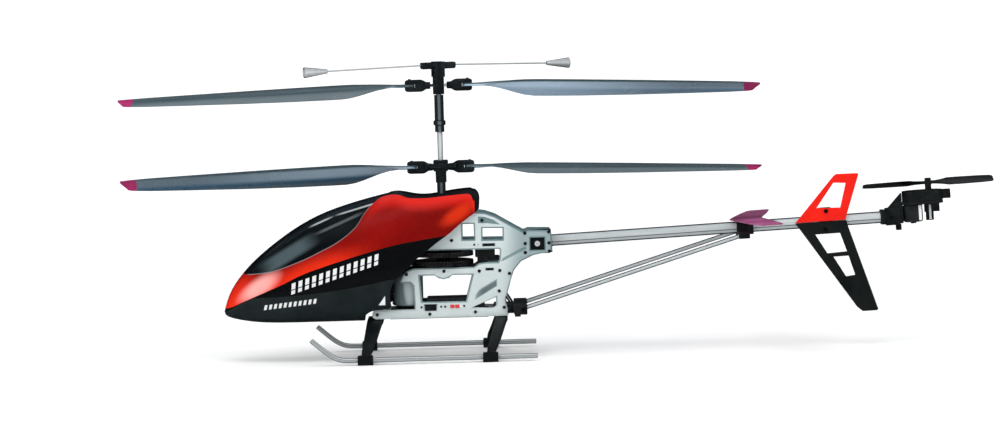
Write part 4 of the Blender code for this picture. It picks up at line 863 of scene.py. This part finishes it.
MIDLINE = [
    (-198.4, 9.5), (-190.0, 12.0), (-170.0, 18.0), (-130.0, 28.0), (-80.0, 36.0), (0.0, 44.0),
    (36.0, 48.0)]
SLOT = [
    (-46.5, 0.15), (-45.0, 3.2), (-41.5, 8.4), (-35.0, 12.6), (-22.0, 15.4), (0.0, 16.4),
    (36.0, 16.2)]
SLOT_START = -46.4
NOSE_TIP = (-198.4, 0, 9.5)
STATIONS = [
    -197.2, -195.0, -191.0, -184.5, -175.0, -162.0, -146.0, -128.0, -108.0, -88.0, -70.0, -58.0,
    -50.0, -46.5, -45.0, -41.5, -35.0, -26.0, -16.0, -5.0, 8.0, 22.0, 36.0]
LOW_ROWS, HIGH_ROWS = 5, 8
SHELL_THICKNESS = 1.2
# side-view outline (x, z) of the volume cut from the rear; REAR_CORNERS stay sharp
REAR_CUT = [
    (60, 130), (20.0, 130), (25.6, 115.4), (30.6, 112.6), (33.4, 108.0), (33.6, 101.0),
    (31.6, 96), (17.6, 85.8), (4.7, 75.4), (-4.0, 69.6), (-12.8, 62.8), (-23.4, 54.6),
    (-34.9, 43.6), (-43.2, 36.7), (-47.4, 27.8), (-48.0, 18.8), (-47.4, 12.6), (-52.0, 10.4),
    (-62.6, 9.4), (-69.4, 6.0), (-71.8, 1.4), (-71.8, -8), (60, -8)]
REAR_CORNERS = (0, 1, 21, 22)
REAR_CUT_HALF_WIDTH = 60.0


def smooth_table(table, x):
    """Monotone cubic through the (x, value) rows, for an x inside the table."""
    secants = [(v1 - v0) / (x1 - x0) for (x0, v0), (x1, v1) in zip(table, table[1:])]
    slopes = [0.0 if a * b <= 0 else 2 * a * b / (a + b) for a, b in zip(secants, secants[1:])]
    slopes = [secants[0], *slopes, secants[-1]]
    i = next(k for k in range(len(secants)) if x <= table[k + 1][0])
    (x0, v0), (x1, v1) = table[i], table[i + 1]
    span = x1 - x0
    t = (x - x0) / span
    return ((2 * t ** 3 - 3 * t ** 2 + 1) * v0 + (t ** 3 - 2 * t ** 2 + t) * (slopes[i] * span)
            + (-2 * t ** 3 + 3 * t ** 2) * v1 + (t ** 3 - t ** 2) * (slopes[i + 1] * span))


def fair(points, sharp, steps=6):
    """Catmull-Rom through a closed outline, except at the sharp point numbers."""
    knots = [Vector(p) for p in points]
    count = len(knots)
    outline = []
    for i in range(count):
        j = (i + 1) % count
        before, p1, p2, after = knots[i - 1], knots[i], knots[j], knots[(i + 2) % count]
        if i in sharp and j in sharp:
            outline.append(tuple(p1))
            continue
        before = p1 if i in sharp else before
        after = p2 if j in sharp else after
        outline += [tuple(catmull_rom(before, p1, p2, after, k / steps)) for k in range(steps)]
    return outline


def canopy_section(x):
    """Half section at x, from the bottom centre up to the top centre or slot edge."""
    width, top, bottom, middle = (smooth_table(t, x) for t in (WIDTH, TOP, BOTTOM, MIDLINE))
    slot = 0.0 if x < SLOT_START else smooth_table(SLOT, x)
    column = []
    for i in range(LOW_ROWS):
        angle = math.pi / 2 * (1 - i / LOW_ROWS)
        column.append((x, 0.0 if i == 0 else width * math.cos(angle) ** 0.72,
                       middle - (middle - bottom) * math.sin(angle) ** 0.85))
    steepest = math.acos(min(1.0, slot / width))
    height = (top - middle) / math.sin(steepest)
    for i in range(HIGH_ROWS + 1):
        angle = steepest * i / HIGH_ROWS
        column.append((x, slot if i == HIGH_ROWS else width * math.cos(angle) ** 0.95,
                       middle + height * math.sin(angle)))
    return column


def canopy_cage():
    """Coarse control mesh of both halves, sharing the centre-line vertices."""
    bm = bmesh.new()
    shared = {}

    def vert(point, side):
        x, y, z = point
        key = (round(x, 4), round(side * y, 4) + 0.0, round(z, 4))
        if key not in shared:
            shared[key] = bm.verts.new((x * MM, side * y * MM, z * MM))
        return shared[key]

    def face(verts, side):
        bm.faces.new(verts if side < 0 else verts[::-1])

    sections = [canopy_section(x) for x in STATIONS]
    tip = bm.verts.new([c * MM for c in NOSE_TIP])
    for _, side in SIDES:
        for a, b in zip(sections, sections[1:]):
            for i in range(len(a) - 1):
                corners = [vert(p, side) for p in (a[i], b[i], b[i + 1], a[i + 1])]
                corners = list(dict.fromkeys(corners))
                if len(corners) > 2:
                    face(corners, side)
        first = sections[0]
        for low, high in zip(first, first[1:]):
            face([tip, vert(low, side), vert(high, side)], side)
    # edge attribute, left at zero
    bm.edges.layers.float.new("crease_edge")
    return to_mesh("canopy_shell", bm)


def rear_cutter():
    """Prism across the canopy that opens its rear."""
    bm = bmesh.new()
    outline = fair(REAR_CUT, REAR_CORNERS)
    near, far = ([bm.verts.new((x * MM, y * MM, z * MM)) for x, z in outline]
                 for y in (-REAR_CUT_HALF_WIDTH, REAR_CUT_HALF_WIDTH))
    bridge(bm, near, far)
    bm.faces.new(list(reversed(near)))
    bm.faces.new(far)
    bmesh.ops.recalc_face_normals(bm, faces=bm.faces)
    return link(bpy.data.objects.new("canopy_rear_cut", to_mesh("canopy_rear_cut", bm)))


def build_canopy():
    cage = canopy_cage()
    cage.shade_smooth()
    cage.materials.append(CANOPY_PAINT)
    cage.materials.append(CANOPY_INSIDE)
    canopy = link(bpy.data.objects.new("canopy_shell", cage))
    subsurf = canopy.modifiers.new("fair", "SUBSURF")
    subsurf.levels = subsurf.render_levels = 3
    subsurf.boundary_smooth = "PRESERVE_CORNERS"
    shell = canopy.modifiers.new("shell", "SOLIDIFY")
    shell.thickness = SHELL_THICKNESS * MM
    shell.offset = -1.0
    shell.material_offset = 1
    shell.material_offset_rim = 1
    cutter = rear_cutter()
    opening = canopy.modifiers.new("rear_opening", "BOOLEAN")
    opening.operation = "DIFFERENCE"
    opening.solver = "EXACT"
    opening.object = cutter
    bpy.context.view_layer.update()
    depsgraph = bpy.context.evaluated_depsgraph_get()
    final = bpy.data.meshes.new_from_object(canopy.evaluated_get(depsgraph))
    bpy.data.objects.remove(cutter, do_unlink=True)
    canopy.modifiers.clear()
    canopy.data = final
    final.name = "canopy_shell"
    bm = bmesh.new()
    bm.from_mesh(final)
    bmesh.ops.remove_doubles(bm, verts=bm.verts, dist=1e-6)
    bmesh.ops.dissolve_degenerate(bm, edges=bm.edges, dist=1e-6)
    bm.to_mesh(final)
    bm.free()
    final.shade_smooth()
    final.set_sharp_from_angle(angle=math.radians(40))
    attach(canopy, "canopy")
    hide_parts("canopy_half_port", "canopy_half_starboard")


build_canopy()

# ------------------------------------------------------------------ skids
SKID_Y = 62.0
SKID_RADIUS = 2.2
# (x, z) from the rear end to the upswept nose end
SKID_PATH = [
    (81.5, -31.3), (40.0, -31.3), (0.0, -31.3), (-40.0, -31.3), (-72.0, -31.3), (-86.0, -31.25),
    (-93.0, -30.35), (-99.0, -27.9), (-106.0, -22.95), (-112.5, -17.5), (-118.0, -12.7)]
for side, sign in SIDES:
    rail = tube_path("skid_rail_" + side, [(x, sign * SKID_Y, z) for x, z in SKID_PATH],
                     SKID_RADIUS, SKID, "polished_tube", seg=28, steps=5, cap_round=0.5)
    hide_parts("skid_tube_" + side)


# ------------------------------------------------------------------ side plates
def sheet(name, outline, holes, side, thickness, material, slot="black_plastic", bevel=0.12):
    """Flat layer in the XZ plane, standing out from the side plate's face."""
    curve = bpy.data.curves.new(name + "_outline", "CURVE")
    curve.dimensions = "2D"
    curve.fill_mode = "BOTH"
    curve.extrude = thickness / 2 * MM
    curve.render_resolution_u = 0
    for points in [outline, *holes]:
        spline = curve.splines.new("POLY")
        spline.points.add(len(points) - 1)
        for point, (x, z) in zip(spline.points, points):
            point.co = (x * MM, z * MM, 0, 1)
        spline.use_cyclic_u = True
    flat = link(bpy.data.objects.new(name + "_tmp", curve))
    bpy.context.view_layer.update()
    depsgraph = bpy.context.evaluated_depsgraph_get()
    mesh = bpy.data.meshes.new_from_object(flat.evaluated_get(depsgraph))
    bpy.data.objects.remove(flat, do_unlink=True)
    bm = bmesh.new()
    bm.from_mesh(mesh)
    bmesh.ops.remove_doubles(bm, verts=bm.verts, dist=0.00001)
    upright = (Matrix.Translation(Vector((0, side * (PLATE_Y + thickness / 2), 0)) * MM)
               @ Matrix.Rotation(math.radians(90), 4, "X"))
    return add_piece(name, bm, material, slot, upright, bevel=bevel)


PLATE_Y = 19.6  # outer face
RIM_THICKNESS = 0.55
RIM_FACE_Y = PLATE_Y + RIM_THICKNESS
SCREW_SEAT_Y = 20.1
# outlines and places on the side plates, (x, z) in mm
RIM_OUTLINE = [
    (-59.5, 1.8), (56.0, 1.8), (53.9, 13.6), (56.2, 23.8), (59.7, 35.5), (62.2, 42.4),
    (69.0, 50.3), (80.4, 55.6), (88.0, 57.0), (95.0, 57.0), (96.1, 58.2), (96.1, 74.0),
    (95.0, 75.2), (76.3, 75.8), (72.6, 74.0), (60.4, 80.8), (46.6, 89.1), (37.8, 92.2),
    (30.0, 93.2), (0.6, 90.8), (-29.4, 84.8), (-42.8, 79.2), (-44.8, 75.6), (-44.8, 62.0),
    (51.0, 62.0), (52.2, 60.2), (51.8, 52.2), (50.0, 47.8), (38.4, 48.0), (32.3, 47.2),
    (27.8, 44.2), (-26.4, 44.1), (-31.4, 42.4), (-35.4, 39.0), (-37.4, 34.8), (-37.4, 33.8),
    (-29.4, 33.8), (-26.4, 30.4), (-25.4, 7.5), (-59.5, 7.5), (-62.4, 6.4), (-63.6, 4.7),
    (-62.6, 2.9)]
RIM_HOLES = {
    "window_fore": [(16.6, 68.8), (29.4, 68.7), (29.2, 85.0), (16.7, 85.0)],
    "window_aft": [(34.5, 68.2), (54.8, 68.0), (55.0, 80.6), (34.6, 81.0)],
    "window_main": [(-21.2, 14.0), (20.3, 13.6), (27.4, 39.5), (8.4, 39.7), (4.4, 37.4),
                    (0.0, 36.1), (-4.4, 37.4), (-8.4, 39.7), (-23.0, 39.8)],
    "window_low": [(21.4, 7.6), (44.2, 7.0), (47.6, 9.8), (47.6, 19.2)],
    "clamp": [(77.2, 58.0), (92.0, 58.0), (92.0, 71.0), (77.2, 71.0)],
    "switch": [(-18.6, 6.1), (-6.2, 6.1), (-6.2, 12.9), (-18.6, 12.9)],
    "diagonal": [(27.4, 15.8), (47.6, 27.6), (47.8, 34.0), (31.6, 24.8), (28.6, 20.6)],
    "slot": [(37.4, 41.7), (45.2, 41.7), (45.2, 44.2), (37.4, 44.2)],
    "crease": [(51.6, 49.8), (54.0, 50.2), (74.6, 60.2), (74.2, 61.8), (71.6, 61.6),
               (53.6, 52.6)],
    "web": [(35.0, 63.4), (47.0, 63.4), (47.0, 66.2), (35.0, 66.2)],
    "upper": [(32.0, 84.4), (40.0, 84.2), (52.0, 82.6), (46.0, 87.0), (38.0, 89.8),
              (32.2, 90.4)],
}
DIAGONAL_PAD = [(29.4, 17.8), (46.8, 28.0), (46.9, 32.2), (32.4, 24.0), (29.8, 20.4)]
PAD_SHARE = 0.86  # of the pocket around it
PLATE_SCREWS = [
    (35.6, 87.0), (8.0, 69.6), (73.6, 74.4), (95.0, 75.0), (73.7, 65.0), (95.0, 65.0),
    (73.6, 57.0), (95.2, 57.6), (32.0, 41.5), (50.3, 41.5), (59.0, 38.6), (-33.2, 40.2),
    (-60.4, 4.7), (-13.4, 4.0), (27.6, 4.9), (0.4, 42.2), (49.4, 23.2), (53.4, 8.4)]
RIVETS = [(28.2, 65.2), (31.8, 65.2), (-3.0, 10.4), (0.6, 10.4), (17.6, 10.6), (-20.6, 10.4)]
BRIGHT_RIVET = 1
RIVET_PROFILE = [(0.0, -0.5), (1.0, -0.5), (1.0, 0.15), (0.8, 0.42), (0.0, 0.5)]


def plate_details(side, sign):
    # only the port rim has the switch opening
    holes = [v for k, v in RIM_HOLES.items() if not (side == "starboard" and k == "switch")]
    sheet("plate_rim_" + side, RIM_OUTLINE, holes, sign, RIM_THICKNESS, PLATE,
          "plate_aluminium", bevel=0.16)
    outward = (0, sign, 0)
    for k, (x, z) in enumerate(PLATE_SCREWS):
        socket_screw("plate_screw_%s_%02d" % (side, k), (x, sign * SCREW_SEAT_Y, z), outward,
                     radius=1.45, height=0.9)
    # dark sheets in the slot and web pockets: painted shade in the recesses
    for key in ("slot", "web"):
        pocket = RIM_HOLES[key]
        middle_x, middle_z = (sum(values) / 4 for values in zip(*pocket))
        pad = [(middle_x + (x - middle_x) * PAD_SHARE, middle_z + (z - middle_z) * PAD_SHARE)
               for x, z in pocket]
        sheet("plate_%s_pad_%s" % (key, side), pad, [], sign, 0.22, BLACK_SATIN, bevel=0.05)
    # sheet of painted shadow in the diagonal pocket
    sheet("plate_diagonal_pad_" + side, DIAGONAL_PAD, [], sign, 0.16, POCKET_SHADE, bevel=0.04)
    for k, (x, z) in enumerate(RIVETS):
        lathe("plate_rivet_%s_%d" % (side, k), RIVET_PROFILE, (x, sign * RIM_FACE_Y, z), outward,
              SCREW_BRIGHT if k == BRIGHT_RIVET else SCREW, "bright_steel", seg=14)
    socket_screw("boom_clamp_screw_" + side, (84.6, sign * 19.2, 64.6), outward, radius=2.5,
                 height=1.6, material=SCREW_BRIGHT)


for side, sign in SIDES:
    plate_details(side, sign)

# blocks: name, x range, y range, z range, material, bevel
AIRFRAME_BLOCKS = [
    # plugs and switch bezel on the port plate
    ("charge_plug_a", (5.2, 8.8), (-21.0, -19.9), (8.9, 12.0), RED_PLUG, 0.3),
    ("charge_plug_b", (9.6, 13.4), (-21.0, -19.9), (8.9, 12.0), RED_PLUG, 0.3),
    ("charge_plug_cap", (13.7, 15.6), (-20.6, -19.9), (9.2, 11.6), WHITE, 0.25),
    ("switch_bezel_top", (-17.9, -6.9), (-20.35, -19.7), (12.2, 12.9), BLACK, 0.15),
    # gear bay and battery
    ("gear_bay_guard", (28.6, 46.4), (-16.6, -11.5), (53.6, 61.2), BLACK_SATIN, 0.9),
    ("gear_bay_guard_far", (28.6, 46.4), (11.5, 16.6), (53.6, 61.2), BLACK_SATIN, 0.9),
    ("guard_foot", (33.0, 50.2), (-15.6, -11.8), (50.2, 55.2), BLACK_SATIN, 0.9),
    ("battery_plug", (-21.5, -15.6), (-8.0, 4.0), (11.4, 16.8), BLACK, 0.5),
]
for row in AIRFRAME_BLOCKS:
    block(*row)

# ------------------------------------------------------------------ motors and drive
# jacket wall section, (radius, z); its open side faces aft
JACKET_SECTION = [
    (12.3, 11.2), (15.2, 11.4), (15.8, 12.6), (15.8, 31.5), (15.5, 35.0), (14.8, 38.0),
    (13.6, 39.8), (12.3, 40.4)]
JACKET_START, JACKET_END = 62.0, 298.0  # degrees round the motor from +X
JACKET_STEPS = 44
# gear collars: tag, body, bottom z, top z
COLLARS = (("inner", "upper_rotor", 50.7, 52.6), ("outer", "lower_rotor", 52.9, 54.8))
COLLAR_BORE, COLLAR_RADIUS, COLLAR_CHAMFER = 4.4, 6.4, 0.3
RACE_Z = 35.2
RACE_PROFILE = [(2.9, -0.7), (4.6, -0.7), (4.9, -0.4), (4.9, 0.9), (2.9, 0.9)]
# motor end faces: tag, z, direction into the motor
MOTOR_ENDS = (("lower", 10.4, 1), ("upper", 95.8, -1))
ENDBELL_PROFILE = [
    (4.2, -1.4), (6.4, -1.4), (7.0, -0.9), (10.6, -0.5), (11.4, 0.2), (11.4, 0.7), (4.2, 0.7)]
SEAM_PROFILE = [(11.9, -0.25), (12.4, -0.25), (12.5, 0.0), (12.4, 0.25), (11.9, 0.25)]
SEAM_INSET = 4.6
TERMINAL_X = 8.0  # either side of the motor axis
TERMINAL_HALF_WIDTH, TERMINAL_HALF_THICKNESS = 0.9, 0.3
# leads: name, material, radius, path
LEADS = [
    ("motor_lead_red", WIRE_RED, 0.8,
     [(MOTOR_X + TERMINAL_X, 0, 7.6), (MOTOR_X + 6, 5.0, 7.2), (-27.0, 12.0, 8.6),
      (-21.0, 15.0, 16.0), (-24.0, 15.4, 30.0), (-25.0, 15.2, 39.5)]),
    ("motor_lead_black", WIRE_BLACK, 0.8,
     [(MOTOR_X - TERMINAL_X, 0, 7.6), (MOTOR_X - 9, 6.0, 7.2), (-42.0, 12.0, 9.0),
      (-44.5, 15.0, 18.0), (-44.5, 15.6, 30.0), (-42.0, 15.2, 39.5)]),
    ("tail_lead_a", WIRE_BLACK, 0.7,
     [(60.0, -5.0, 61.0), (66.0, -6.5, 60.4), (78.0, -8.0, 58.8), (90.0, -7.0, 59.4),
      (98.0, -2.4, 60.6)]),
]


def cooling_jacket():
    """Open ring round the lower motor."""
    bm = bmesh.new()
    rings = []
    for k in range(JACKET_STEPS + 1):
        angle = math.radians(JACKET_START + (JACKET_END - JACKET_START) * k / JACKET_STEPS)
        rings.append([bm.verts.new(((MOTOR_X + radius * math.cos(angle)) * MM,
                                    radius * math.sin(angle) * MM, z * MM))
                      for radius, z in JACKET_SECTION])
    for a, b in zip(rings, rings[1:]):
        bridge(bm, a, b)
    bm.faces.new(rings[0])
    bm.faces.new(list(reversed(rings[-1])))
    add_piece("motor_cooling_jacket", bm, MOTOR_CAN, "motor_can", bevel=0.35)


def gear_collar(tag, body, bottom, top):
    shoulder = COLLAR_RADIUS - COLLAR_CHAMFER
    profile = [(COLLAR_BORE, bottom), (shoulder, bottom), (COLLAR_RADIUS, bottom + COLLAR_CHAMFER),
               (COLLAR_RADIUS, top - COLLAR_CHAMFER), (shoulder, top), (COLLAR_BORE, top)]
    lathe("gear_collar_" + tag, profile, (0, 0, 0), (0, 0, 1), BLACK, "gear_plastic", seg=32,
          body=body)


def motor_end(tag, z, inward):
    """End bell, seam ring and two terminals."""
    axis = (0, 0, inward)
    lathe("motor_endbell_" + tag, ENDBELL_PROFILE, (MOTOR_X, 0, z), axis, ENDBELL,
          "black_plastic", seg=36)
    lathe("motor_seam_" + tag, SEAM_PROFILE, (MOTOR_X, 0, z + inward * SEAM_INSET), axis,
          MOTOR_CAN, "motor_can", seg=40)
    for k, sign in enumerate((1, -1)):
        x = MOTOR_X + sign * TERMINAL_X
        block("motor_terminal_%s_%d" % (tag, k),
              (x - TERMINAL_HALF_WIDTH, x + TERMINAL_HALF_WIDTH),
              (-TERMINAL_HALF_THICKNESS, TERMINAL_HALF_THICKNESS),
              sorted((z - inward * 3.2, z + inward * 0.2)), BRASS, 0.08, "brass")


cooling_jacket()
for collar in COLLARS:
    gear_collar(*collar)
lathe("lower_bearing_race", RACE_PROFILE, (0, 0, RACE_Z), (0, 0, -1), SCREW_BRIGHT,
      "bright_steel", seg=28)
for end in MOTOR_ENDS:
    motor_end(*end)
for name, material, radius, path in LEADS:
    tube_path(name, path, radius, material)

# ------------------------------------------------------------------ strut anchor
# stay path, (x, distance from the centre line, z)
STAY_PATH = [(55.4, 20.8, 18.2), (58.6, 21.6, 13.0), (63.2, 23.0, 5.6), (64.6, 23.4, 3.4)]
EAR_Y = (19.8, 23.6)  # inner and outer face
SADDLE_Y = (24.2, 31.8)


def anchor_details(side, sign):
    outward = (0, sign, 0)
    socket_screw("anchor_bolt_" + side, (70.6, sign * 33.0, 7.0), outward, radius=2.2,
                 height=1.4)
    block("anchor_saddle_" + side, (62.6, 68.0), sorted(sign * y for y in SADDLE_Y),
          (0.6, 3.2), BLACK, 0.5)
    block("anchor_ear_" + side, (56.4, 62.6), sorted(sign * y for y in EAR_Y), (3.2, 8.0),
          BLACK, 0.7)
    socket_screw("anchor_ear_screw_" + side, (58.8, sign * EAR_Y[1], 5.4), outward, radius=1.7,
                 height=0.9)
    tube_path("anchor_stay_" + side, [(x, sign * y, z) for x, y, z in STAY_PATH], 0.95, BLACK,
              seg=12, cap_round=0.5)


for side, sign in SIDES:
    anchor_details(side, sign)

# ------------------------------------------------------------------ tail, in the boom frame
FIN_SCREWS = ((247.7, 9.5), (246.5, -7.0))  # (x, z)
# name, x range, y range, z range, material, bevel, slot
TAIL_BLOCKS = [
    ("fin_clamp", (241.0, 253.0), (-5.8, 6.9), (-9.0, 12.0), BLACK, 0.8, "black_plastic"),
    ("tail_boom_collar", (296.6, 301.2), (-6.4, 6.4), (-6.4, 6.6), BLACK, 0.8, "black_plastic"),
    # white strip on the tail motor: a painted highlight standing in for its glint
    ("tail_motor_painted_highlight", (330.6, 333.4), (-7.6, -6.2), (-4.6, 9.0), WHITE, 0.3, "motor_can"),
    ("tail_tower_stripe", (340.4, 342.4), (-4.3, -3.4), (-4.6, 8.6), SCREW_BRIGHT, 0.2,
     "bright_steel"),
    ("tail_peg", (310.2, 315.2), (-2.5, 2.5), (-12.6, -7.0), BLACK, 0.8, "black_plastic"),
]
for k, (x, z) in enumerate(FIN_SCREWS):
    socket_screw("fin_screw_%d" % k, (x, -7.4, z), (0, -1, 0), radius=1.9, height=1.2,
                 base=BOOM_FRAME)
for row in TAIL_BLOCKS:
    block(*row, base=BOOM_FRAME)
for side, sign in SIDES:
    socket_screw("tail_socket_screw_" + side, (306.5, sign * 7.4, 0.0), (0, sign, 0),
                 radius=1.7, height=0.9, base=BOOM_FRAME)

# ------------------------------------------------------------------ studio
FLOOR_Z = -35.65
# panels seen only in reflections: arc range in degrees (0 at the camera-side horizon,
# 90 overhead, 180 at the horizon behind), range of direction X, X feather, power
SOFTBOXES = [
    ((118.0, 128.0), (-0.60, 0.50), 0.10, 1.1),  # behind, a strip along the spine
    ((44.0, 60.0), (-0.50, 0.60), 0.10, 0.16),   # broad overhead panel, camera side
    ((14.0, 50.0), (-0.95, -0.66), 0.10, 0.9),   # nose side
    ((8.0, 60.0), (0.72, 0.94), 0.10, 0.7),      # tail side
]
ARC_FEATHERS = (3.0, 8.0, 8.0, 8.0)
# area lights, in metres and watts: name, place, target, width, height, power
AREA_LIGHTS = [
    ("softbox_top", (-0.25, -0.35, 1.55), (0.0, 0.0, 0.05), 1.1, 0.7, 9.0),
    ("softbox_port_high", (-1.15, -1.75, 0.95), (-0.05, 0, 0.08), 0.9, 0.5, 9.0),
    ("strip_aft", (1.3, -1.35, 0.75), (0.25, 0, 0.07), 0.22, 1.0, 3.2),
]
CAMERA_PITCH, CAMERA_ROLL = math.radians(4.09), math.radians(1.6)
# camera place along its own right, up and back axes, mm
CAMERA_OFFSET = (49.4, 89.6, 3483.0)


def floor_material():
    mat = Mat("mat_studio_floor")
    cloud = mat.noise(3.0)
    colour = mat.mix(mat.ramp(cloud), (0.93, 0.935, 0.94), (0.95, 0.955, 0.96))
    # reflections see a darker floor, so polished edges read
    ray = mat.add("LightPath")
    colour = mat.mix(ray.outputs["Is Glossy Ray"], colour, (0.035, 0.037, 0.039))
    mat.finish(colour=colour, rough=mat.ramp(cloud, low=0.50, high=0.58), metal=0.0,
               normal=mat.bump(mat.noise(300.0), strength=0.02, distance=0.0002), spec=0.1)
    # far floor glows to a plain near-white for the camera
    reach = mat.add("VectorMath", {0: mat.place}, operation="LENGTH").outputs["Value"]
    glow = mat.mul(mat.ramp(reach, 0.55, 2.2), ray.outputs["Is Camera Ray"], 0.30)
    mat.set(mat.shader, "Emission Strength", glow)
    mat.set(mat.shader, "Emission Color", (1, 1, 1, 1))
    return mat.material


def add_floor():
    bm = bmesh.new()
    bmesh.ops.create_grid(bm, x_segments=1, y_segments=1, size=40.0)
    floor = link(bpy.data.objects.new("studio_floor", to_mesh("studio_floor", bm)))
    floor.location.z = FLOOR_Z * MM
    floor.data.materials.append(floor_material())


def add_world():
    """Plain white surroundings, replaced in reflections by dark sky with softboxes."""
    world = bpy.data.worlds.new("studio_world")
    bpy.context.scene.world = world
    world.use_nodes = True
    world.node_tree.nodes.clear()
    graph = Graph(world.node_tree)
    x, y, z = graph.split(graph.add("TexCoord").outputs["Generated"])
    degrees_per_radian = 57.29578
    arc = graph.mul(graph.math("ARCTAN2", z, graph.mul(y, -1.0)), degrees_per_radian)

    def window(value, span, feather):
        start, end = span
        return graph.mul(graph.ramp(value, start - feather, start + feather),
                         graph.ramp(value, end + feather, end - feather))

    # faint overhead glow on a nearly black sky
    glow = graph.mul(graph.ramp(arc, 150.0, 100.0), 0.045)
    level = graph.plus(graph.mul(graph.ramp(arc, 10.0, 60.0), glow), 0.008)
    for (arcs, across, feather, power), arc_feather in zip(SOFTBOXES, ARC_FEATHERS):
        panel = graph.mul(window(arc, arcs, arc_feather), window(x, across, feather), power)
        level = graph.plus(level, panel)
    plain = graph.add("Background", {"Color": (1, 1, 1, 1), "Strength": 1.02})
    gloss = graph.add("Background", {"Color": (0.97, 0.99, 1.0, 1.0), "Strength": level})
    ray = graph.add("LightPath").outputs["Is Glossy Ray"]
    mixed = graph.add("MixShader", {0: ray, 1: plain.outputs[0], 2: gloss.outputs[0]})
    graph.add("OutputWorld", {0: mixed.outputs[0]})


def add_area_light(name, place, target, width, height, power):
    light = bpy.data.lights.new(name, "AREA")
    light.shape = "RECTANGLE"
    light.size = width
    light.size_y = height
    light.energy = power
    lamp = link(bpy.data.objects.new(name, light))
    lamp.visible_glossy = False
    aim = (Vector(target) - Vector(place)).to_track_quat("-Z", "Y")
    lamp.matrix_world = Matrix.Translation(Vector(place)) @ aim.to_matrix().to_4x4()


def add_camera():
    """Long lens on the port side, looking towards +Y and slightly down."""
    level_right = Vector((1, 0, 0))
    level_up = Vector((0, math.sin(CAMERA_PITCH), math.cos(CAMERA_PITCH)))
    back = -Vector((0, math.cos(CAMERA_PITCH), -math.sin(CAMERA_PITCH)))
    right = level_right * math.cos(CAMERA_ROLL) - level_up * math.sin(CAMERA_ROLL)
    up = level_right * math.sin(CAMERA_ROLL) + level_up * math.cos(CAMERA_ROLL)
    along_right, along_up, along_back = CAMERA_OFFSET
    place = (right * along_right + up * along_up + back * along_back) * MM
    lens = bpy.data.cameras.new("photo_camera")
    lens.lens = 139.3
    lens.sensor_width = 36.0
    lens.clip_end = 200.0
    camera = link(bpy.data.objects.new("photo_camera", lens))
    camera.matrix_world = Matrix((*zip(right, up, back, place), (0, 0, 0, 1)))
    bpy.context.scene.camera = camera


bpy.context.scene.view_settings.view_transform = "Standard"
bpy.context.scene.view_settings.look = "None"
add_floor()
add_world()
for row in AREA_LIGHTS:
    add_area_light(*row)
add_camera()
